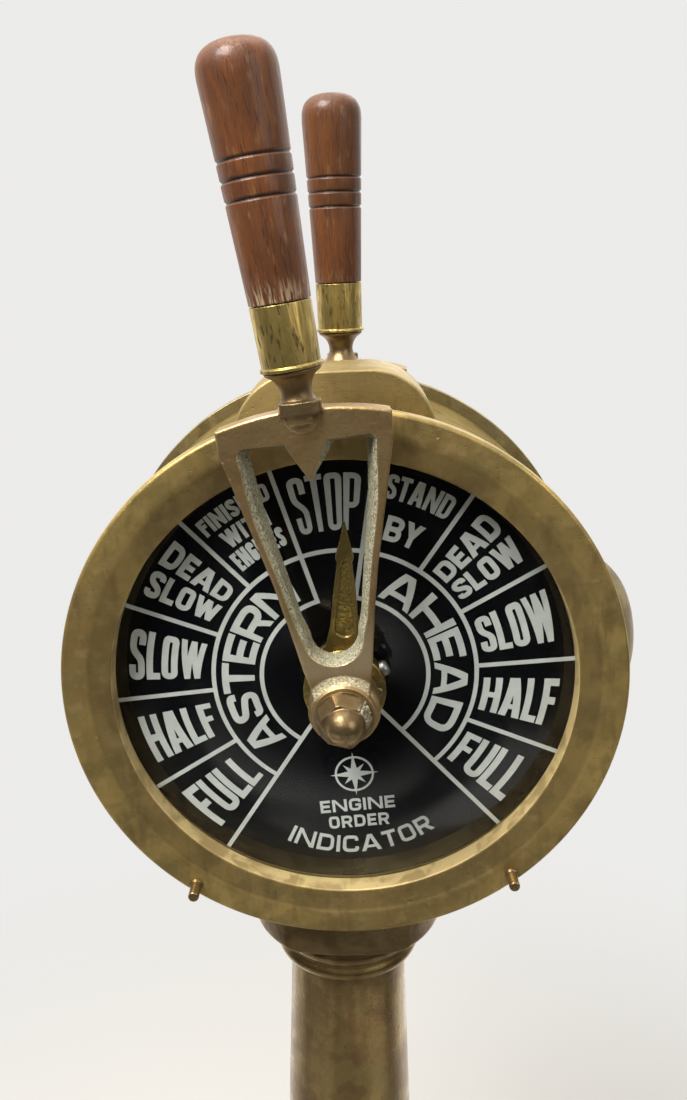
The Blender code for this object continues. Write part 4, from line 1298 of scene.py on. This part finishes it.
def hub_nut():
    """The cap nut: a worn hexagon under a round dome."""
    def hexagon(depth, radius):
        return behind(depth), [polar(radius, radians(60 * index - 9)) for index in range(6)]

    body = loft([hexagon(-41, 11.8), hexagon(-32.6, 15.9), hexagon(-30, 15.9)])
    cone = [(0, -40), (11.8, -40), (14.6, -33), (14.6, -31.3), (0, -31.3)]
    body = boolean(body, turned(cone, 64), "INTERSECT")
    dome = [(0, -48.5), (4.2, -47.6, 2), (7.6, -45, 2), (9.8, -41.4, 2), (10.4, -38, 1), (10.4, -34)]
    crown = turned(soften(dome + [(0, -34)], False), 72)
    skin = melt([body, crown], FINE * 0.7, 2)
    skin = roughen(cut(skin, rod(SHAFT_RADIUS + GAP, behind(-43.3), behind(0))), 4, 0.12, 9.0)
    normals = [vertex.normal.copy() for vertex in skin.vertices]
    chip = Vector((11, 4))
    values = []
    for vertex, normal in zip(skin.vertices, normals):
        off_axis = Vector((vertex.co.x, vertex.co.z))
        damage = max(0.0, 1 - (off_axis - chip).length / 6.5) * (off_axis.length_squared > 118)
        damage = min(1.0, 2.5 * damage)
        vertex.co += normal * (noise.noise(vertex.co / 1.3) - 0.3) * damage
        values.append(0.75 * damage)
    return with_walls(skin, values)


def reply_pointer():
    """The needle with its sunk panel, on a round hub."""
    root = [(15, 14), (15, 21), (9.9, 25), (7.6, 35)]
    blade = [(6, 52), (5.6, 56), (3.8, 70.4), (4.8, 73), (0, 92)]
    needle = prism(mirrored(root + blade), behind(4), behind(8))
    sunk = [(0.001, 29.5)] + arc(5.2, pi * 0.97, pi / 2, 6, (0, 34.7)) + [(3.4, 52), (2.0, 68), (0, 74)]
    floor = behind(5.1)
    needle = cut(needle, prism(mirrored(sunk), behind(2), floor))
    hub = [(9.3, 0.5, 0.3), (22, 0.5, 0.9), (22, 11.5, 0.6), (9.3, 11.5, 0.3)]
    rivet = rod(2.1, behind(-0.4), behind(2), (18, 0), 24)
    skin = melt([fuse(turned(soften(hub), 128), needle), rivet], FINE * 0.8, 2)
    hole = lathe([(0, 8), (2.3, 8), (2.3, 26), (0, 26)], segments=24)
    hole.transform(clamp_frame())
    skin = roughen(cut(skin, hole), 3, 0.10, 7.0)
    for vertex in skin.vertices:
        if 26 < vertex.co.z < 76 and abs(vertex.co.y - floor) < 0.35:
            vertex.co.y += 0.3 * noise.noise(vertex.co / 1.4)
    return skin


def clamp_frame():
    """Where the pointer's clamp screw sits: radial, to the upper right."""
    return Matrix.Translation((0, behind(6), 0)) @ Matrix.Rotation(CLAMP_ANGLE, 4, "Y")


def clamp_screw():
    """The slotted steel screw of the pointer's hub."""
    shank = [(0, 11), (2, 11, 0.3), (2, 22.4)]
    head = [(4.2, 22.4, 0.3), (4.2, 24.6, 0.8), (3.2, 26, 1), (0, 26.4)]
    slot = block((-5, 5), (-0.5, 0.5), (25.2, 28))
    mesh = cut(lathe(soften(shank + head, False), segments=48), slot)
    mesh.transform(clamp_frame())
    return mesh


for side in SIDES:
    lever = side_frame(LEVER_TURN[side], side)
    handle = handle_frame(side)
    pointer = side_frame(POINTER_TURN, side)
    stand_in(f"{side}_lever_casting", lever_casting(side), LOOKS["lever"], lever, 60)
    stand_in(f"{side}_lever_ferrule", lever_ferrule(), LOOKS["ferrule"], handle)
    stand_in(f"{side}_lever_grip", lever_grip(), LOOKS[f"wood_{side}"], handle)
    stand_in(f"{side}_hub_washer", hub_washer(), LOOKS["nut"], lever)
    stand_in(f"{side}_hub_nut", hub_nut(), LOOKS["nut"], lever, 60)
    stand_in(f"{side}_pointer", reply_pointer(), LOOKS["pointer"], pointer, 60)
    stand_in(f"{side}_pointer_screw", clamp_screw(), LOOKS["steel"], pointer)


# ---------------------------------------------------------------- what stays as the CAD made it

BRASS_SLOTS = ("bright_brass", "cast_brass")
for node, obj in frame["nodes"].items():
    if not obj.hide_render:
        slot = SLOT_OF[node]
        obj.data.materials.clear()
        obj.data.materials.append(LOOKS["brass" if slot in BRASS_SLOTS else slot])


# ---------------------------------------------------------------- floor, light and camera

def pale_floor():
    """A round pale floor that fades into the background."""
    shader = Shader("pale_floor")
    flat = shader.add("ShaderNodeVectorMath", {0: shader.place}, operation="LENGTH")
    fade = shader.span(flat.outputs["Value"], 1.3, 0.55)
    mirrored_in = shader.add("ShaderNodeLightPath").outputs["Is Glossy Ray"]
    fade = shader.math("MULTIPLY", fade, shader.span(mirrored_in, 0, 1, 1.0, 0.25))
    look = shader.finish(Base_Color=(0.52, 0.51, 0.49, 1), Roughness=0.8, Alpha=fade)
    mesh = bpy.data.meshes.new("floor")
    mesh.from_pydata([(-3, -3, 0), (3, -3, 0), (3, 3, 0), (-3, 3, 0)], [], [(0, 1, 2, 3)])
    mesh.materials.append(look)
    floor = bpy.data.objects.new("floor", mesh)
    bpy.context.scene.collection.objects.link(floor)
    floor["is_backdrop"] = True


def studio_world():
    """A pale backdrop for the camera; for everything else a room, dimmer in front than behind."""
    world = bpy.data.worlds.new("studio")
    bpy.context.scene.world = world
    world.use_nodes = True
    world.node_tree.nodes.clear()
    sky = Nodes(world.node_tree)
    direction = sky.add("ShaderNodeTexCoord").outputs["Generated"]
    _, ahead, height = sky.parts(direction)
    blots = sky.add("ShaderNodeTexNoise", {"Vector": direction, "Scale": 3.2, "Detail": 1.0})
    blots = sky.span(blots.outputs["Fac"], 0.46, 0.60, 0.05, 0.75)
    beyond = sky.span(ahead, -0.05, 0.5, 0.015, 1.05)
    above = sky.span(height, 0.05, 0.9, 0.0, 0.6)
    below = sky.math("MULTIPLY", sky.span(height, -0.38, -0.6), blots)
    strength = sky.math("ADD", sky.math("ADD", beyond, above), below)
    room = sky.add("ShaderNodeBackground", {"Color": (1.0, 0.97, 0.92, 1), "Strength": strength})
    pale = sky.add("ShaderNodeBackground", {"Color": (0.84, 0.835, 0.82, 1)})
    seen = sky.add("ShaderNodeLightPath").outputs["Is Camera Ray"]
    choice = sky.add("ShaderNodeMixShader", {0: seen, 1: room.outputs[0], 2: pale.outputs[0]})
    sky.add("ShaderNodeOutputWorld", {0: choice.outputs[0]})


def soft_light(name, place, target, size, power, colour=(1, 1, 1)):
    """A square softbox aimed at a point."""
    data = bpy.data.lights.new(name, "AREA")
    data.size = size
    data.energy = power
    data.color = colour
    lamp = bpy.data.objects.new(name, data)
    bpy.context.scene.collection.objects.link(lamp)
    lamp.location = place
    lamp.rotation_mode = "QUATERNION"
    lamp.rotation_quaternion = (Vector(target) - Vector(place)).to_track_quat("-Z", "Y")


def viewpoint():
    """The camera: close, a little above the head's axis, looking down at it."""
    data = bpy.data.cameras.new("camera")
    data.lens = 32.69
    data.sensor_width = 36
    camera = bpy.data.objects.new("camera", data)
    bpy.context.scene.collection.objects.link(camera)
    pitch, yaw, roll = radians(17.0), radians(-0.62), radians(-0.51)
    ahead = Vector((sin(yaw) * cos(pitch), cos(yaw) * cos(pitch), -sin(pitch)))
    level_right = Vector((cos(yaw), -sin(yaw), 0))
    level_up = level_right.cross(ahead)
    right = level_right * cos(roll) + level_up * sin(roll)
    up = right.cross(ahead)
    camera.matrix_world = Matrix.Translation((0.0052, -0.5585, 1.1658)) @ Matrix((
        (right.x, up.x, -ahead.x, 0),
        (right.y, up.y, -ahead.y, 0),
        (right.z, up.z, -ahead.z, 0),
        (0, 0, 0, 1),
    ))
    data.clip_start = 0.01
    bpy.context.scene.camera = camera


pale_floor()
studio_world()
MIDDLE = (0, 0, AXIS_HEIGHT * MM)
soft_light("key", (-0.8, -0.85, 2.6), MIDDLE, 1.0, 74, (1.0, 0.985, 0.96))
soft_light("fill", (1.5, -1.3, 1.9), MIDDLE, 1.2, 10, (1.0, 0.97, 0.93))
soft_light("top", (-0.1, 0.2, 2.9), MIDDLE, 1.4, 12)
soft_light("rear", (0.8, 1.8, 2.0), MIDDLE, 1.5, 5)
viewpoint()
bpy.context.scene.view_settings.view_transform = "Standard"

boxes = {"cad": cad_bounds, "visual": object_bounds()}
{name: [list(corner) for corner in box] for name, box in boxes.items()}
